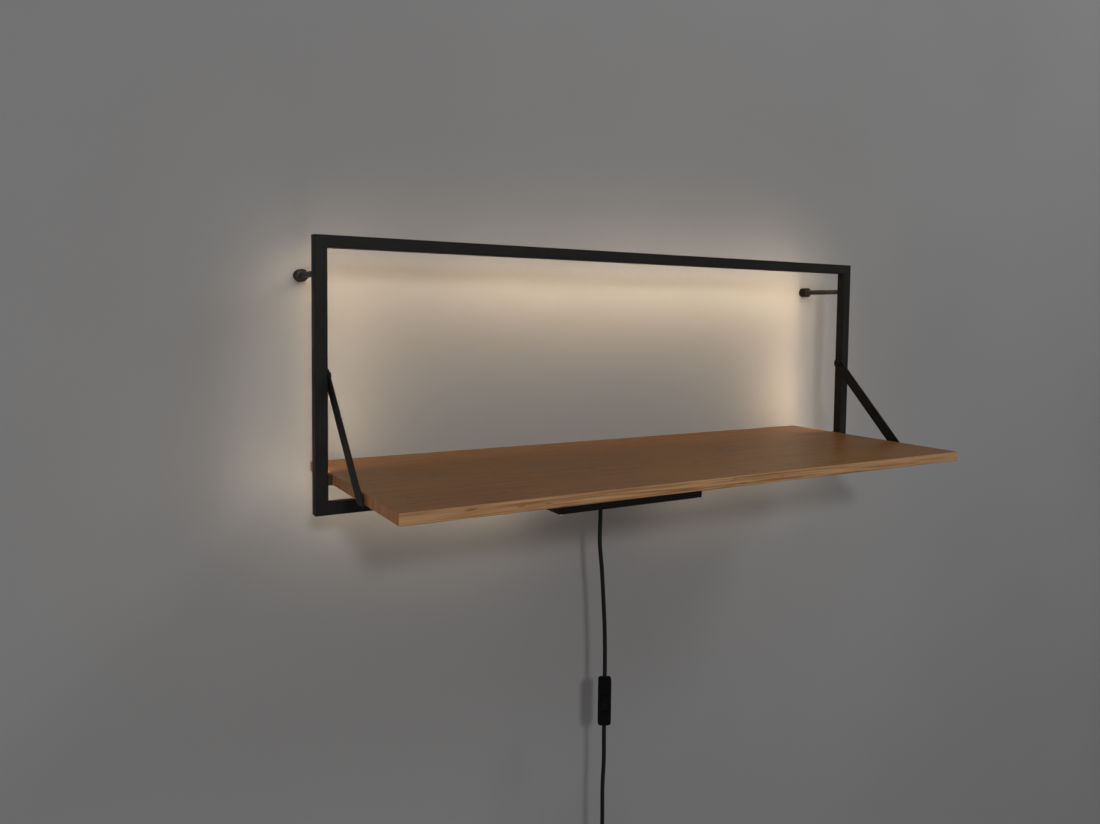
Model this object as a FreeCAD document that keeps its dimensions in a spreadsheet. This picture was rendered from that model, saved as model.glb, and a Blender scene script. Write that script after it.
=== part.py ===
"""Wall lamp with a shelf: a black frame of wall-facing light channels, held off the wall by two rods,
with a bamboo shelf on two struts, a driver housing under the frame and a corded switch.

Millimetres. X runs along the wall, the wall is the plane Y = 0, the room is at -Y and Z is up.
The origin lies on the wall, midway between the two wall cups.
"""
import FreeCAD, Part

import math
import os
import re

import Sketcher

Vector = FreeCAD.Vector

# Driving sizes: name, value in mm (or degrees or a count), meaning.
SIZES = (
    ("frame_width", 890, "frame, outside"),
    ("frame_height", 333, "frame, outside"),
    ("tube_side", 15, "side of the square channel"),
    ("tube_wall", 1.5, "wall of the channel"),
    ("edge_round", 0.9, "rounding of the channel's front edges"),
    ("wall_gap", 91, "wall to the back of the frame"),
    ("top_above_mount", 45, "rods' axis to the top of the frame"),
    ("fit_gap", 0.1, "gap between pieces that slide together"),
    ("rod_diameter", 8, "standoff rod"),
    ("cup_diameter", 16, "wall cup"),
    ("cup_length", 15, "wall cup, off the wall"),
    ("cup_base", 3, "floor of the wall cup"),
    ("cup_edge", 0.8, "bevel of the wall cup"),
    ("rod_depth", 8, "how far a rod sits in its cup"),
    ("wall_screw_hole", 4.5, "hole for the wall screw"),
    ("grub_diameter", 4, "grub screw"),
    ("grub_from_mouth", 4, "grub screw to the mouth of the cup"),
    ("strip_width", 10, "light strip's board"),
    ("strip_board", 0.4, "thickness of the board"),
    ("strip_setback", 22, "end of a strip to the frame's corner"),
    ("strip_rod_gap", 6, "rod to the strip below it"),
    ("led_length", 3.5, "light chip"),
    ("led_width", 2.8, "light chip"),
    ("led_height", 0.8, "light chip"),
    ("led_pitch", 33, "from chip to chip"),
    ("link_width", 1.6, "corner link"),
    ("link_thickness", 0.8, "corner link"),
    ("link_lap", 4, "corner link over the end of a strip"),
    ("cover_thickness", 1.2, "opal cover"),
    ("shelf_depth", 343, "shelf, from the wall"),
    ("shelf_thickness", 13, "shelf"),
    ("shelf_end_gap", 5, "end of the shelf to the upright"),
    ("shelf_above_bottom", 49, "bottom of the frame to the top of the shelf"),
    ("shelf_bevel", 0.8, "bevel along the shelf's edges"),
    ("strut_width", 17, "flat bar"),
    ("strut_thickness", 2, "flat bar"),
    ("strut_reach", 128, "upper to lower screw, along Y"),
    ("strut_bolt", 6, "upper strut screw"),
    ("strut_bolt_head", 10.5, "upper strut screw's head"),
    ("strut_bolt_head_height", 3.3, "upper strut screw's head"),
    ("weld_nut", 9, "round nut inside the upright"),
    ("weld_nut_height", 5, "round nut inside the upright"),
    ("wood_screw", 4, "screws into the shelf's ends"),
    ("wood_screw_head", 7.6, "screws into the shelf's ends"),
    ("wood_screw_bite", 24, "length in the shelf"),
    ("side_head_height", 1.9, "pan head inside the upright"),
    ("washer_diameter", 9, "washer between strut and shelf"),
    ("housing_width", 246, "driver housing"),
    ("housing_depth", 44, "driver housing"),
    ("housing_height", 30, "driver housing"),
    ("housing_wall", 1.5, "driver housing"),
    ("housing_corner", 1.2, "rounding of its upright edges"),
    ("housing_screw", 4, "screws up into the frame"),
    ("housing_screw_inset", 16, "screws up into the frame, from the housing's ends"),
    ("housing_nut", 7, "nut across flats"),
    ("housing_nut_height", 3.2, "nut"),
    ("housing_screw_head", 7, "screws up into the frame"),
    ("housing_screw_head_height", 2.6, "screws up into the frame"),
    ("post_diameter", 6, "posts that take the lid's screws"),
    ("post_inset", 5, "post's axis to the housing's outside"),
    ("lid_screw", 3, "lid's screws"),
    ("lid_screw_head", 5.4, "lid's screws"),
    ("lid_screw_length", 9, "lid's screws"),
    ("driver_width", 31, "driver"),
    ("driver_height", 20, "driver"),
    ("driver_clearance", 1.1, "driver to the strain relief"),
    ("terminal_length", 28, "terminal block"),
    ("terminal_width", 16, "terminal block"),
    ("terminal_height", 13, "terminal block"),
    ("terminal_inset", 23, "terminal block, from the housing's left end"),
    ("wire_diameter", 2.2, "single wires"),
    ("lead_diameter", 3.4, "lead from the driver to the strips"),
    ("lead_past_driver", 16, "driver's end to the lead's riser"),
    ("lead_inset", 7, "lead's riser, from the housing's right end"),
    ("grommet_diameter", 7.4, "grommet's flange"),
    ("cord_diameter", 6, "mains cord"),
    ("cord_inset", 79.4, "cord, from the housing's left end"),
    ("cord_inside", 19, "cord above the housing's underside"),
    ("relief_collar", 13, "strain relief's collar"),
    ("relief_hole", 9.6, "lid's hole for the strain relief"),
    ("relief_outside", 5, "strain relief below the lid"),
    ("relief_inside", 16, "strain relief above the underside"),
    ("switch_length", 68, "switch"),
    ("switch_width", 19, "switch"),
    ("switch_front", 9, "front shell's depth"),
    ("switch_back", 7, "back shell's depth"),
    ("switch_wall", 1.6, "shells' wall"),
    ("switch_corner", 4, "rounding of the outline"),
    ("switch_round", 1.8, "rounding of the edges"),
    ("switch_entry", 8, "cord inside the switch"),
    ("switch_turn", -30, "switch about its cord, degrees"),
    ("shell_screw", 2.2, "screws of the case"),
    ("shell_screw_head", 4, "screws of the case"),
    ("shell_screw_sink", 1.2, "screws' heads below the back"),
    ("rocker_length", 24.8, "rocker, over its curved ends"),
    ("rocker_width", 9, "rocker"),
    ("rocker_rise", 1.7, "rocker's ends above the middle"),
    ("rocker_tilt", 8, "rocker either side of level, degrees"),
    ("rocker_depth", 5, "pin below the switch's face"),
    ("rocker_pin", 2.6, "rocker's pin"),
    ("rocker_gap", 0.25, "rocker to its window"),
    ("pin_clearance", 0.05, "radial clearance of the rocker's pin"),
    ("coil_radius", 45, "outermost turn of the put-away coil"),
    ("coil_pitch", 6.6, "from turn to turn and layer to layer"),
    ("coil_full_turns", 6, "whole turns of the coil"),
    ("coil_entry_angle", 60, "where the cord joins the coil, degrees"),
    ("tie_width", 11, "strap round the coil"),
    ("tie_thickness", 1.2, "strap round the coil"),
    ("tie_clearance", 0.5, "strap to the cord"),
    ("plug_width", 35, "plug's face"),
    ("plug_thickness", 13.6, "plug's face"),
    ("plug_length", 26, "plug without pins and relief"),
    ("plug_relief", 30, "plug's tapered relief"),
    ("plug_pin", 4, "plug's pins"),
    ("plug_pin_length", 19, "plug's pins"),
    ("plug_pin_spacing", 18.6, "plug's pins"),
)

# Places that several sub-parts share, written in terms of the driving sizes.
FRONT = "-(wall_gap + tube_side)"
DEEP = "-(wall_gap + tube_side / 2)"
WEB = "-(wall_gap + tube_side - tube_wall)"
FRAME_BOTTOM = "(top_above_mount - frame_height)"
FRAME_MIDDLE = "(top_above_mount - frame_height / 2)"
UPRIGHT_X = "(frame_width / 2 - tube_side / 2)"
INSIDE_X = "(frame_width / 2 - tube_side)"
SHELF_MIDDLE = "(top_above_mount - frame_height + shelf_above_bottom - shelf_thickness / 2)"
SHELF_HALF = "(frame_width / 2 - tube_side - shelf_end_gap)"
STRUT_DROP = "(frame_height / 2 - shelf_above_bottom + shelf_thickness / 2)"
UNDERSIDE = "(top_above_mount - frame_height - housing_height)"
HOUSING_ROOF = "(top_above_mount - frame_height - housing_wall)"
POST_Z = "(switch_length / 2 - switch_entry - 5)"
CORD_X = "(cord_inset - housing_width / 2)"
LEAD_X = "(housing_width / 2 - lead_inset)"
DRIVER_START = "(cord_inset - housing_width / 2 + relief_collar / 2 + driver_clearance)"
DRIVER_END = "(housing_width / 2 - lead_inset - lead_past_driver)"
TERMINAL_START = "(terminal_inset - housing_width / 2)"
HOUSING_SCREW_X = "(housing_width / 2 - housing_screw_inset)"

# The cord's route from the middle of its hole in the housing's underside: down to the switch,
# and from the switch down to the coil. The first point of each is inside what holds it.
TO_SWITCH = (
    (0.0, 0.0, 19.0),
    (0.0, 0.0, -15.0),
    (-1.8, -1.2, -53.0),
    (2.2, -2.4, -90.0),
    (5.2, -2.1, -129.0),
    (7.5, -3.2, -171.0),
    (9.3, -3.0, -217.0),
    (9.3, -3.0, -260.5),
)
TO_COIL = (
    (9.3, -3.0, -312.5),
    (9.3, -3.0, -342.0),
    (10.7, -2.0, -377.0),
    (8.9, -1.2, -415.0),
    (10.1, -0.6, -455.0),
    (9.9, -0.8, -487.0),
    (19.9, -0.8, -504.3),
    (37.2205, -0.8, -514.3),
)
SEARCH_STEP = 1.5
LEAST_GAP = 0.4

doc = FreeCAD.newDocument("WallLampWithShelf")
sheet = doc.addObject("Spreadsheet::Sheet", "Sizes")
for row, (alias, value, meaning) in enumerate(SIZES, start=1):
    sheet.set(f"A{row}", str(value))
    sheet.setAlias(f"A{row}", alias)
    sheet.set(f"B{row}", meaning)
doc.recompute()

ALIASES = re.compile(r"\b(" + "|".join(alias for alias, _, _ in SIZES) + r")\b")
sub_parts = {}


def size(alias):
    """Return one driving size as a number."""
    return float(sheet.get(alias))


def formula(text):
    """Turn the names of sizes in an expression into references to the sheet."""
    return ALIASES.sub(r"Sizes.\1", str(text))


def value_of(text):
    """Work out an expression of sizes as a number, for a first drawing or a plain shape."""
    numbers = {alias: size(alias) for alias in ALIASES.findall(str(text))}
    tree = ALIASES.sub(lambda match: repr(numbers[match.group(1)]), str(text))
    return float(FreeCAD.Units.Quantity(tree).Value)


def bind(item, **properties):
    """Bind an object's properties to expressions of the sizes."""
    for name, text in properties.items():
        item.setExpression(name.replace("_", "."), formula(text))


def place(item, x="0", y="0", z="0", axis=None, angle=None):
    """Bind an object's placement: where its own origin lies and its turn about an axis."""
    if axis is not None:
        item.Placement = FreeCAD.Placement(item.Placement.Base, FreeCAD.Rotation(Vector(*axis), 0))
        item.setExpression("Placement.Rotation.Angle", formula(angle))
    for letter, text in (("x", x), ("y", y), ("z", z)):
        item.setExpression(f"Placement.Base.{letter}", formula(text))


def keep(label, item):
    """Name an object as a finished sub-part."""
    item.Label = label
    sub_parts[label] = item
    return item


def new_body(name):
    """Start a body."""
    return doc.addObject("PartDesign::Body", name)


def new_sketch(body, plane="XZ_Plane", offset="0"):
    """Start a sketch on one of the body's own planes, moved along the plane's normal."""
    sketch = body.newObject("Sketcher::SketchObject", body.Name + "_sketch")
    origin_plane = next(item for item in body.Origin.OriginFeatures if item.Role == plane)
    sketch.AttachmentSupport = (origin_plane, [""])
    sketch.MapMode = "FlatFace"
    sketch.setExpression(".AttachmentOffset.Base.z", formula(offset))
    return sketch


def hold_point(sketch, edge, end, x, y):
    """Hold one end of a sketch's edge at a place given by two expressions."""
    for kind, letter, text in (("DistanceX", "x", x), ("DistanceY", "y", y)):
        name = f"{letter}{edge}_{end}"
        index = sketch.addConstraint(Sketcher.Constraint(kind, -1, 1, edge, end, value_of(text)))
        sketch.renameConstraint(index, name)
        sketch.setExpression(f"Constraints.{name}", formula(text))


def draw_polygon(sketch, corners):
    """Draw a closed outline whose corners are pairs of expressions."""
    first = sketch.GeometryCount
    count = len(corners)
    drawn = [Vector(value_of(x), value_of(y), 0) for x, y in corners]
    for index in range(count):
        sketch.addGeometry(Part.LineSegment(drawn[index], drawn[(index + 1) % count]), False)
    for index in range(count):
        following = first + (index + 1) % count
        sketch.addConstraint(Sketcher.Constraint("Coincident", first + index, 2, following, 1))
    for index, (x, y) in enumerate(corners):
        hold_point(sketch, first + index, 1, x, y)


def draw_rectangle(sketch, x_low, x_high, y_low, y_high):
    """Draw a rectangle between four expressions."""
    corners = ((x_low, y_low), (x_high, y_low), (x_high, y_high), (x_low, y_high))
    draw_polygon(sketch, corners)


def draw_circle(sketch, diameter, x="0", y="0"):
    """Draw a circle."""
    centre = Vector(value_of(x), value_of(y), 0)
    radius = value_of(diameter) / 2
    edge = sketch.addGeometry(Part.Circle(centre, Vector(0, 0, 1), radius), False)
    hold_point(sketch, edge, 3, x, y)
    index = sketch.addConstraint(Sketcher.Constraint("Diameter", edge, 2 * radius))
    sketch.renameConstraint(index, f"diameter{edge}")
    sketch.setExpression(f"Constraints.diameter{edge}", formula(diameter))


def feature(body, kind, sketch, **properties):
    """Add a feature that works on a sketch, with its sizes bound to expressions."""
    item = body.newObject("PartDesign::" + kind, body.Name + "_" + kind.lower())
    item.Profile = sketch
    bind(item, **properties)
    return item


def pad(body, sketch, length, towards_back=False):
    """Pad a sketch. On an XZ plane the pad grows towards -Y, or towards +Y if told."""
    item = feature(body, "Pad", sketch, Length=length)
    item.Reversed = towards_back
    return item


def pocket(body, sketch, depth, turned=False):
    """Cut a sketch into the body and make sure that it removed something."""
    doc.recompute()
    before = body.Shape.Volume
    item = feature(body, "Pocket", sketch, Length=depth)
    item.Reversed = turned
    doc.recompute()
    if not body.Shape.Volume < before - 1e-6:
        raise RuntimeError(f"{body.Name}: a pocket cut nothing")
    return item


def revolve(body, corners):
    """Turn an outline of (radius, height) pairs about the body's own Z axis."""
    sketch = new_sketch(body, "XZ_Plane")
    draw_polygon(sketch, corners)
    item = feature(body, "Revolution", sketch)
    item.ReferenceAxis = (sketch, ["V_Axis"])
    item.Angle = 360
    doc.recompute()
    return item


def edges_where(shape, test):
    """Name the edges of a shape that pass a test."""
    return [f"Edge{index}" for index, edge in enumerate(shape.Edges, start=1) if test(edge)]


def dress(body, kind, amount, test):
    """Round or bevel the edges that pass a test."""
    doc.recompute()
    base = body.Tip
    item = body.newObject("PartDesign::" + kind, body.Name + "_" + kind.lower())
    item.Base = (base, edges_where(base.Shape, test))
    bind(item, **{"Radius" if kind == "Fillet" else "Size": amount})
    doc.recompute()
    return item


def along(edge, direction):
    """Tell whether an edge is straight and runs along a direction."""
    if edge.Curve.TypeId != "Part::GeomLine":
        return False
    return abs(abs(edge.Curve.Direction.dot(Vector(*direction))) - 1) < 1e-6


def mirrored(source, normal=(1, 0, 0), y="0"):
    """Mirror an object in a plane through the middle of the lamp, or through a given Y."""
    item = doc.addObject("Part::Mirroring", source.Name + "_mirror")
    item.Source = source
    item.Normal = Vector(*normal)
    item.setExpression("Base.y", formula(y))
    return item


def group(label, *items):
    """Keep several separate solids as one sub-part."""
    item = doc.addObject("Part::Compound", label)
    item.Links = list(items)
    return keep(label, item)


def pair(label, source):
    """Keep an object and its mirror image in the middle of the lamp as one sub-part."""
    return group(label, source, mirrored(source))


def ring(name, outer, inner, length, plane="YZ_Plane"):
    """Make a plain ring, such as a washer, along the plane's normal."""
    body = new_body(name)
    sketch = new_sketch(body, plane)
    draw_circle(sketch, outer)
    draw_circle(sketch, inner)
    pad(body, sketch, length)
    return body


def screw(name, shank, length, head, head_height, point="0", countersunk=False):
    """Make a screw along -Z with its head's seat at Z = 0, or flush with Z = 0 if countersunk."""
    top = "0" if countersunk else head_height
    shoulder = f"-({head_height})" if countersunk else "0"
    corners = [("0", top), (f"({head}) / 2", top)]
    if not countersunk:
        corners.append((f"({head}) / 2", "0"))
    corners += [
        (f"({shank}) / 2", shoulder),
        (f"({shank}) / 2", f"-({length}) + ({point})"),
    ]
    if point != "0":
        corners.append((f"({shank}) / 8", f"-({length})"))
    else:
        corners[-1] = (f"({shank}) / 2", f"-({length})")
    corners.append(("0", f"-({length})"))
    body = new_body(name)
    revolve(body, corners)
    return body


def hex_recess(body, across, depth, height):
    """Cut a hexagon socket down from a height."""
    sketch = new_sketch(body, "XY_Plane", height)
    corner = f"({across}) / sqrt(3)"
    half = f"({across}) / (2 * sqrt(3))"
    side = f"({across}) / 2"
    draw_polygon(sketch, (
        (corner, "0"), (half, side), (f"-{half}", side),
        (f"-{corner}", "0"), (f"-{half}", f"-{side}"), (half, f"-{side}"),
    ))
    pocket(body, sketch, depth)


# ---------------------------------------------------------------- frame

def mitred_outline(sketch, length, outer, inner):
    """Draw a bar's outline with 45 degree ends: its outer and inner edges' distances are given
    from the frame's outer line, which is half a tube above the sketch's X axis."""
    outer_half = f"(({length}) / 2 - ({outer}))"
    inner_half = f"(({length}) / 2 - ({inner}))"
    outer_z = f"(tube_side / 2 - ({outer}))"
    inner_z = f"(tube_side / 2 - ({inner}))"
    draw_polygon(sketch, (
        (f"-{outer_half}", outer_z), (f"-{inner_half}", inner_z),
        (inner_half, inner_z), (outer_half, outer_z),
    ))


def channel(name, length):
    """Make one side of the frame: a channel that is open to the wall, its front at Y = 0, its
    outer edge up and its ends mitred."""
    body = new_body(name)
    outline = new_sketch(body)
    mitred_outline(outline, length, "0", "tube_side")
    pad(body, outline, "tube_side", towards_back=True)
    hollow = new_sketch(body, "XZ_Plane", "-tube_wall")
    mitred_outline(hollow, length, "tube_wall", "tube_side - tube_wall")
    pocket(body, hollow, "tube_side")

    def front_edge(edge):
        middle = edge.CenterOfMass
        return along(edge, (1, 0, 0)) and abs(middle.y) < 1e-6

    dress(body, "Fillet", "edge_round", front_edge)
    return body


def drill_flange(body, outer, holes):
    """Drill holes across the channel's outer or inner flange: (distance along, diameter)."""
    level = "tube_side / 2" if outer else "-(tube_side / 2 - tube_wall)"
    sketch = new_sketch(body, "XY_Plane", level)
    for distance, diameter in holes:
        draw_circle(sketch, diameter, distance, "tube_side / 2")
    pocket(body, sketch, "tube_wall")


def make_frame():
    """Make the frame's four sides. An upright's own +X is the frame's downward direction on the
    right and its upward direction on the left."""
    top = channel("top_channel", "frame_width")
    place(top, y=FRONT, z="top_above_mount - tube_side / 2")
    keep("top_rail", top)

    bottom = channel("bottom_channel", "frame_width")
    drill_flange(bottom, True, (
        (f"-{HOUSING_SCREW_X}", "housing_screw + 2 * fit_gap"),
        (HOUSING_SCREW_X, "housing_screw + 2 * fit_gap"),
        (f"-{LEAD_X}", "lead_diameter + 1.6"),
    ))
    place(bottom, y=FRONT, z=f"{FRAME_BOTTOM} + tube_side / 2", axis=(0, 1, 0), angle="180")
    keep("bottom_rail", bottom)

    for label, sign, turn in (("left_upright", "-", "-90"), ("right_upright", "", "90")):
        # how far below the middle of the frame the shelf's screw lies, along the bar
        down = f"({FRAME_MIDDLE} - {SHELF_MIDDLE})"
        upright = channel(label + "_channel", "frame_height")
        drill_flange(upright, False, (
            ("0", "strut_bolt + 2 * fit_gap"),
            (f"-{down}" if sign else down, "wood_screw + 2 * fit_gap"),
        ))
        place(upright, x=f"{sign}{UPRIGHT_X}", y=FRONT, z=FRAME_MIDDLE, axis=(0, 1, 0), angle=turn)
        keep(label, upright)


def make_standoffs():
    """Make the rods, the cups that hold them to the wall and the cups' grub screws."""
    rod = new_body("rod")
    section = new_sketch(rod)
    draw_circle(section, "rod_diameter")
    pad(rod, section, "wall_gap + tube_side - tube_wall - (cup_length - rod_depth)")
    place(rod, x=f"-{UPRIGHT_X}", y="-(cup_length - rod_depth)")
    pair("standoff_rods", rod)

    cup = new_body("cup")
    bore = "(rod_diameter / 2 + fit_gap)"
    revolve(cup, (
        ("wall_screw_hole / 2", "0"), ("cup_diameter / 2", "0"),
        ("cup_diameter / 2", "cup_length - cup_edge"),
        ("cup_diameter / 2 - cup_edge", "cup_length"), (bore, "cup_length"),
        (bore, "cup_base"), ("wall_screw_hole / 2", "cup_base"),
    ))
    # in the body's own frame the cup's mouth is at +Z and -Y will point down
    grub_hole = new_sketch(cup, "XZ_Plane")
    draw_circle(grub_hole, "grub_diameter + 2 * fit_gap", "0", "cup_length - grub_from_mouth")
    pocket(cup, grub_hole, "cup_diameter", turned=True)
    place(cup, x=f"-{UPRIGHT_X}", axis=(1, 0, 0), angle="90")
    pair("wall_cups", cup)

    grub = new_body("grub")
    grub_section = new_sketch(grub, "XY_Plane")
    draw_circle(grub_section, "grub_diameter")
    pad(grub, grub_section, "cup_diameter / 2 - rod_diameter / 2 - fit_gap / 2")
    hex_recess(grub, "grub_diameter / 2", "1.5", "cup_diameter / 2 - rod_diameter / 2 - fit_gap / 2")
    place(grub, x=f"-{UPRIGHT_X}", y="-(cup_length - grub_from_mouth)",
          z="-(rod_diameter / 2 + fit_gap / 2)", axis=(1, 0, 0), angle="180")
    pair("cup_grub_screws", grub)


# ---------------------------------------------------------------- light strips

def strip(name, length):
    """Make a light strip along X on a board whose back is at Y = 0, with its chips towards +Y."""
    body = new_body(name)
    board = new_sketch(body)
    draw_rectangle(board, f"-({length}) / 2", f"({length}) / 2", "-strip_width / 2", "strip_width / 2")
    pad(body, board, "strip_board", towards_back=True)
    count = f"(floor((({length}) - led_pitch / 2 - led_length) / led_pitch) + 1)"
    chip_middle = f"-({length}) / 2 + led_pitch / 2"
    chip = new_sketch(body, "XZ_Plane", "-strip_board")
    draw_rectangle(chip, f"{chip_middle} - led_length / 2", f"{chip_middle} + led_length / 2",
                   "-led_width / 2", "led_width / 2")
    first = pad(body, chip, "led_height", towards_back=True)
    doc.recompute()
    row = body.newObject("PartDesign::LinearPattern", name + "_row")
    row.Originals = [first]
    row.Direction = (chip, ["H_Axis"])
    bind(row, Length=f"({count} - 1) * led_pitch", Occurrences=count)
    body.Tip = row
    return body


def corner_link(name, across, down):
    """Make an L-shaped ribbon in a corner of the frame, its outer corner at the frame's."""
    body = new_body(name)
    sketch = new_sketch(body)
    outer = "(tube_wall + 2 * fit_gap)"
    inner = "(tube_wall + 2 * fit_gap + link_width)"
    draw_polygon(sketch, (
        (outer, f"-{outer}"), (across, f"-{outer}"), (across, f"-{inner}"),
        (inner, f"-{inner}"), (inner, f"-({down})"), (outer, f"-({down})"),
    ))
    pad(body, sketch, "link_thickness", towards_back=True)
    return body


def make_lights():
    """Make the strips in the four channels, the links round the corners and the opal covers."""
    level_length = "(frame_width - 2 * strip_setback)"
    below_rod = "(rod_diameter / 2 + strip_rod_gap)"
    upright_length = f"(-{below_rod} - {FRAME_BOTTOM} - strip_setback)"
    upright_middle = f"((-{below_rod} + {FRAME_BOTTOM} + strip_setback) / 2)"
    top_z = "top_above_mount - tube_side / 2"
    bottom_z = f"{FRAME_BOTTOM} + tube_side / 2"
    for label, length, x, z, turn in (
        ("top_light_strip", level_length, "0", top_z, "0"),
        ("bottom_light_strip", level_length, "0", bottom_z, "180"),
        ("left_light_strip", upright_length, f"-{UPRIGHT_X}", upright_middle, "90"),
        ("right_light_strip", upright_length, UPRIGHT_X, upright_middle, "-90"),
    ):
        item = strip(label + "_board", length)
        place(item, x=x, y=WEB, z=z, axis=(0, 1, 0), angle=turn)
        keep(label, item)

    reach = "(strip_setback + link_lap)"
    upper = corner_link("upper_link", reach, f"top_above_mount + {below_rod} + link_lap")
    place(upper, x="-frame_width / 2", y=f"{WEB} + strip_board", z="top_above_mount")
    lower = corner_link("lower_link", reach, reach)
    place(lower, x="-frame_width / 2", y=f"{WEB} + strip_board", z=FRAME_BOTTOM,
          axis=(0, 1, 0), angle="-90")
    group("corner_links", upper, mirrored(upper), lower, mirrored(lower))

    rod_height = f"(0 - {FRAME_MIDDLE})"
    for label, length, x, z, turn, hole in (
        ("top_opal_cover", "frame_width", "0", top_z, "0", None),
        ("bottom_opal_cover", "frame_width", "0", bottom_z, "180", None),
        ("left_opal_cover", "frame_height", f"-{UPRIGHT_X}", FRAME_MIDDLE, "-90", rod_height),
        ("right_opal_cover", "frame_height", UPRIGHT_X, FRAME_MIDDLE, "90", f"-{rod_height}"),
    ):
        cover = new_body(label + "_sheet")
        outline = new_sketch(cover)
        mitred_outline(outline, length, "tube_wall + fit_gap", "tube_side - tube_wall - fit_gap")
        if hole is not None:
            draw_circle(outline, "rod_diameter + 6 * fit_gap", hole, "0")
        pad(cover, outline, "cover_thickness")
        place(cover, x=x, y="-wall_gap", z=z, axis=(0, 1, 0), angle=turn)
        keep(label, cover)


# ---------------------------------------------------------------- shelf

def make_shelf():
    """Make the board with its pilot holes, and the screws and spacers at its rear ends."""
    board = new_body("board")
    plan = new_sketch(board, "XY_Plane", "-shelf_thickness / 2")
    draw_rectangle(plan, f"-{SHELF_HALF}", SHELF_HALF, "-shelf_depth", "0")
    pad(board, plan, "shelf_thickness")

    def long_edge(edge):
        middle = edge.CenterOfMass
        return abs(middle.z) > size("shelf_thickness") / 2 - 1e-6

    dress(board, "Chamfer", "shelf_bevel", long_edge)
    for plane_x, turned in ((SHELF_HALF, False), (f"-{SHELF_HALF}", True)):
        pilots = new_sketch(board, "YZ_Plane", plane_x)
        for depth in (DEEP, f"{DEEP} - strut_reach"):
            draw_circle(pilots, "wood_screw + 2 * fit_gap", depth, "0")
        pocket(board, pilots, "wood_screw_bite + 2", turned=turned)
    place(board, z=SHELF_MIDDLE)
    keep("shelf_board", board)

    spacer = new_body("spacer")
    plate = new_sketch(spacer, "YZ_Plane")
    draw_rectangle(plate, "-tube_side / 2", "tube_side / 2",
                   "-shelf_thickness / 2", "shelf_thickness / 2")
    draw_circle(plate, "wood_screw + 2 * fit_gap")
    pad(spacer, plate, "shelf_end_gap")
    place(spacer, x=f"-{INSIDE_X}", y=DEEP, z=SHELF_MIDDLE)
    pair("shelf_spacers", spacer)

    fixing = screw("side_screw", "wood_screw", "tube_wall + shelf_end_gap + wood_screw_bite",
                   "wood_screw_head", "side_head_height", point="4")
    place(fixing, x=f"-{INSIDE_X} - tube_wall", y=DEEP, z=SHELF_MIDDLE, axis=(0, 1, 0), angle="-90")
    pair("shelf_side_screws", fixing)


def draw_strut(sketch):
    """Draw a strut: round about its upper screw, cut level with the board's underside below."""
    length = f"sqrt(strut_reach * strut_reach + {STRUT_DROP} * {STRUT_DROP})"
    drop = f"shelf_thickness / 2 * {length}"
    lean = "strut_width / 2 * strut_reach"
    front = f"-{length} - ({drop} + {lean}) / {STRUT_DROP}"
    rear = f"-{length} - ({drop} - {lean}) / {STRUT_DROP}"
    radius = value_of("strut_width / 2")
    corners = [Vector(0, radius, 0), Vector(value_of(front), radius, 0),
               Vector(value_of(rear), -radius, 0), Vector(0, -radius, 0)]
    upper, cut, lower = [sketch.addGeometry(Part.LineSegment(start, end))
                         for start, end in zip(corners, corners[1:])]
    top = sketch.addGeometry(Part.ArcOfCircle(
        Part.Circle(Vector(0, 0, 0), Vector(0, 0, 1), radius), -math.pi / 2, math.pi / 2))
    sketch.addConstraint(Sketcher.Constraint("Coincident", upper, 2, cut, 1))
    sketch.addConstraint(Sketcher.Constraint("Coincident", cut, 2, lower, 1))
    sketch.addConstraint(Sketcher.Constraint("Tangent", lower, 2, top, 1))
    sketch.addConstraint(Sketcher.Constraint("Tangent", top, 2, upper, 1))
    hold_point(sketch, top, 3, "0", "0")
    hold_point(sketch, cut, 1, front, "strut_width / 2")
    hold_point(sketch, cut, 2, rear, "-strut_width / 2")
    index = sketch.addConstraint(Sketcher.Constraint("Radius", top, radius))
    sketch.renameConstraint(index, "end_radius")
    sketch.setExpression("Constraints.end_radius", formula("strut_width / 2"))
    draw_circle(sketch, "strut_bolt + 2 * fit_gap")
    draw_circle(sketch, "wood_screw + 2 * fit_gap", f"-{length}", "0")


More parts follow.
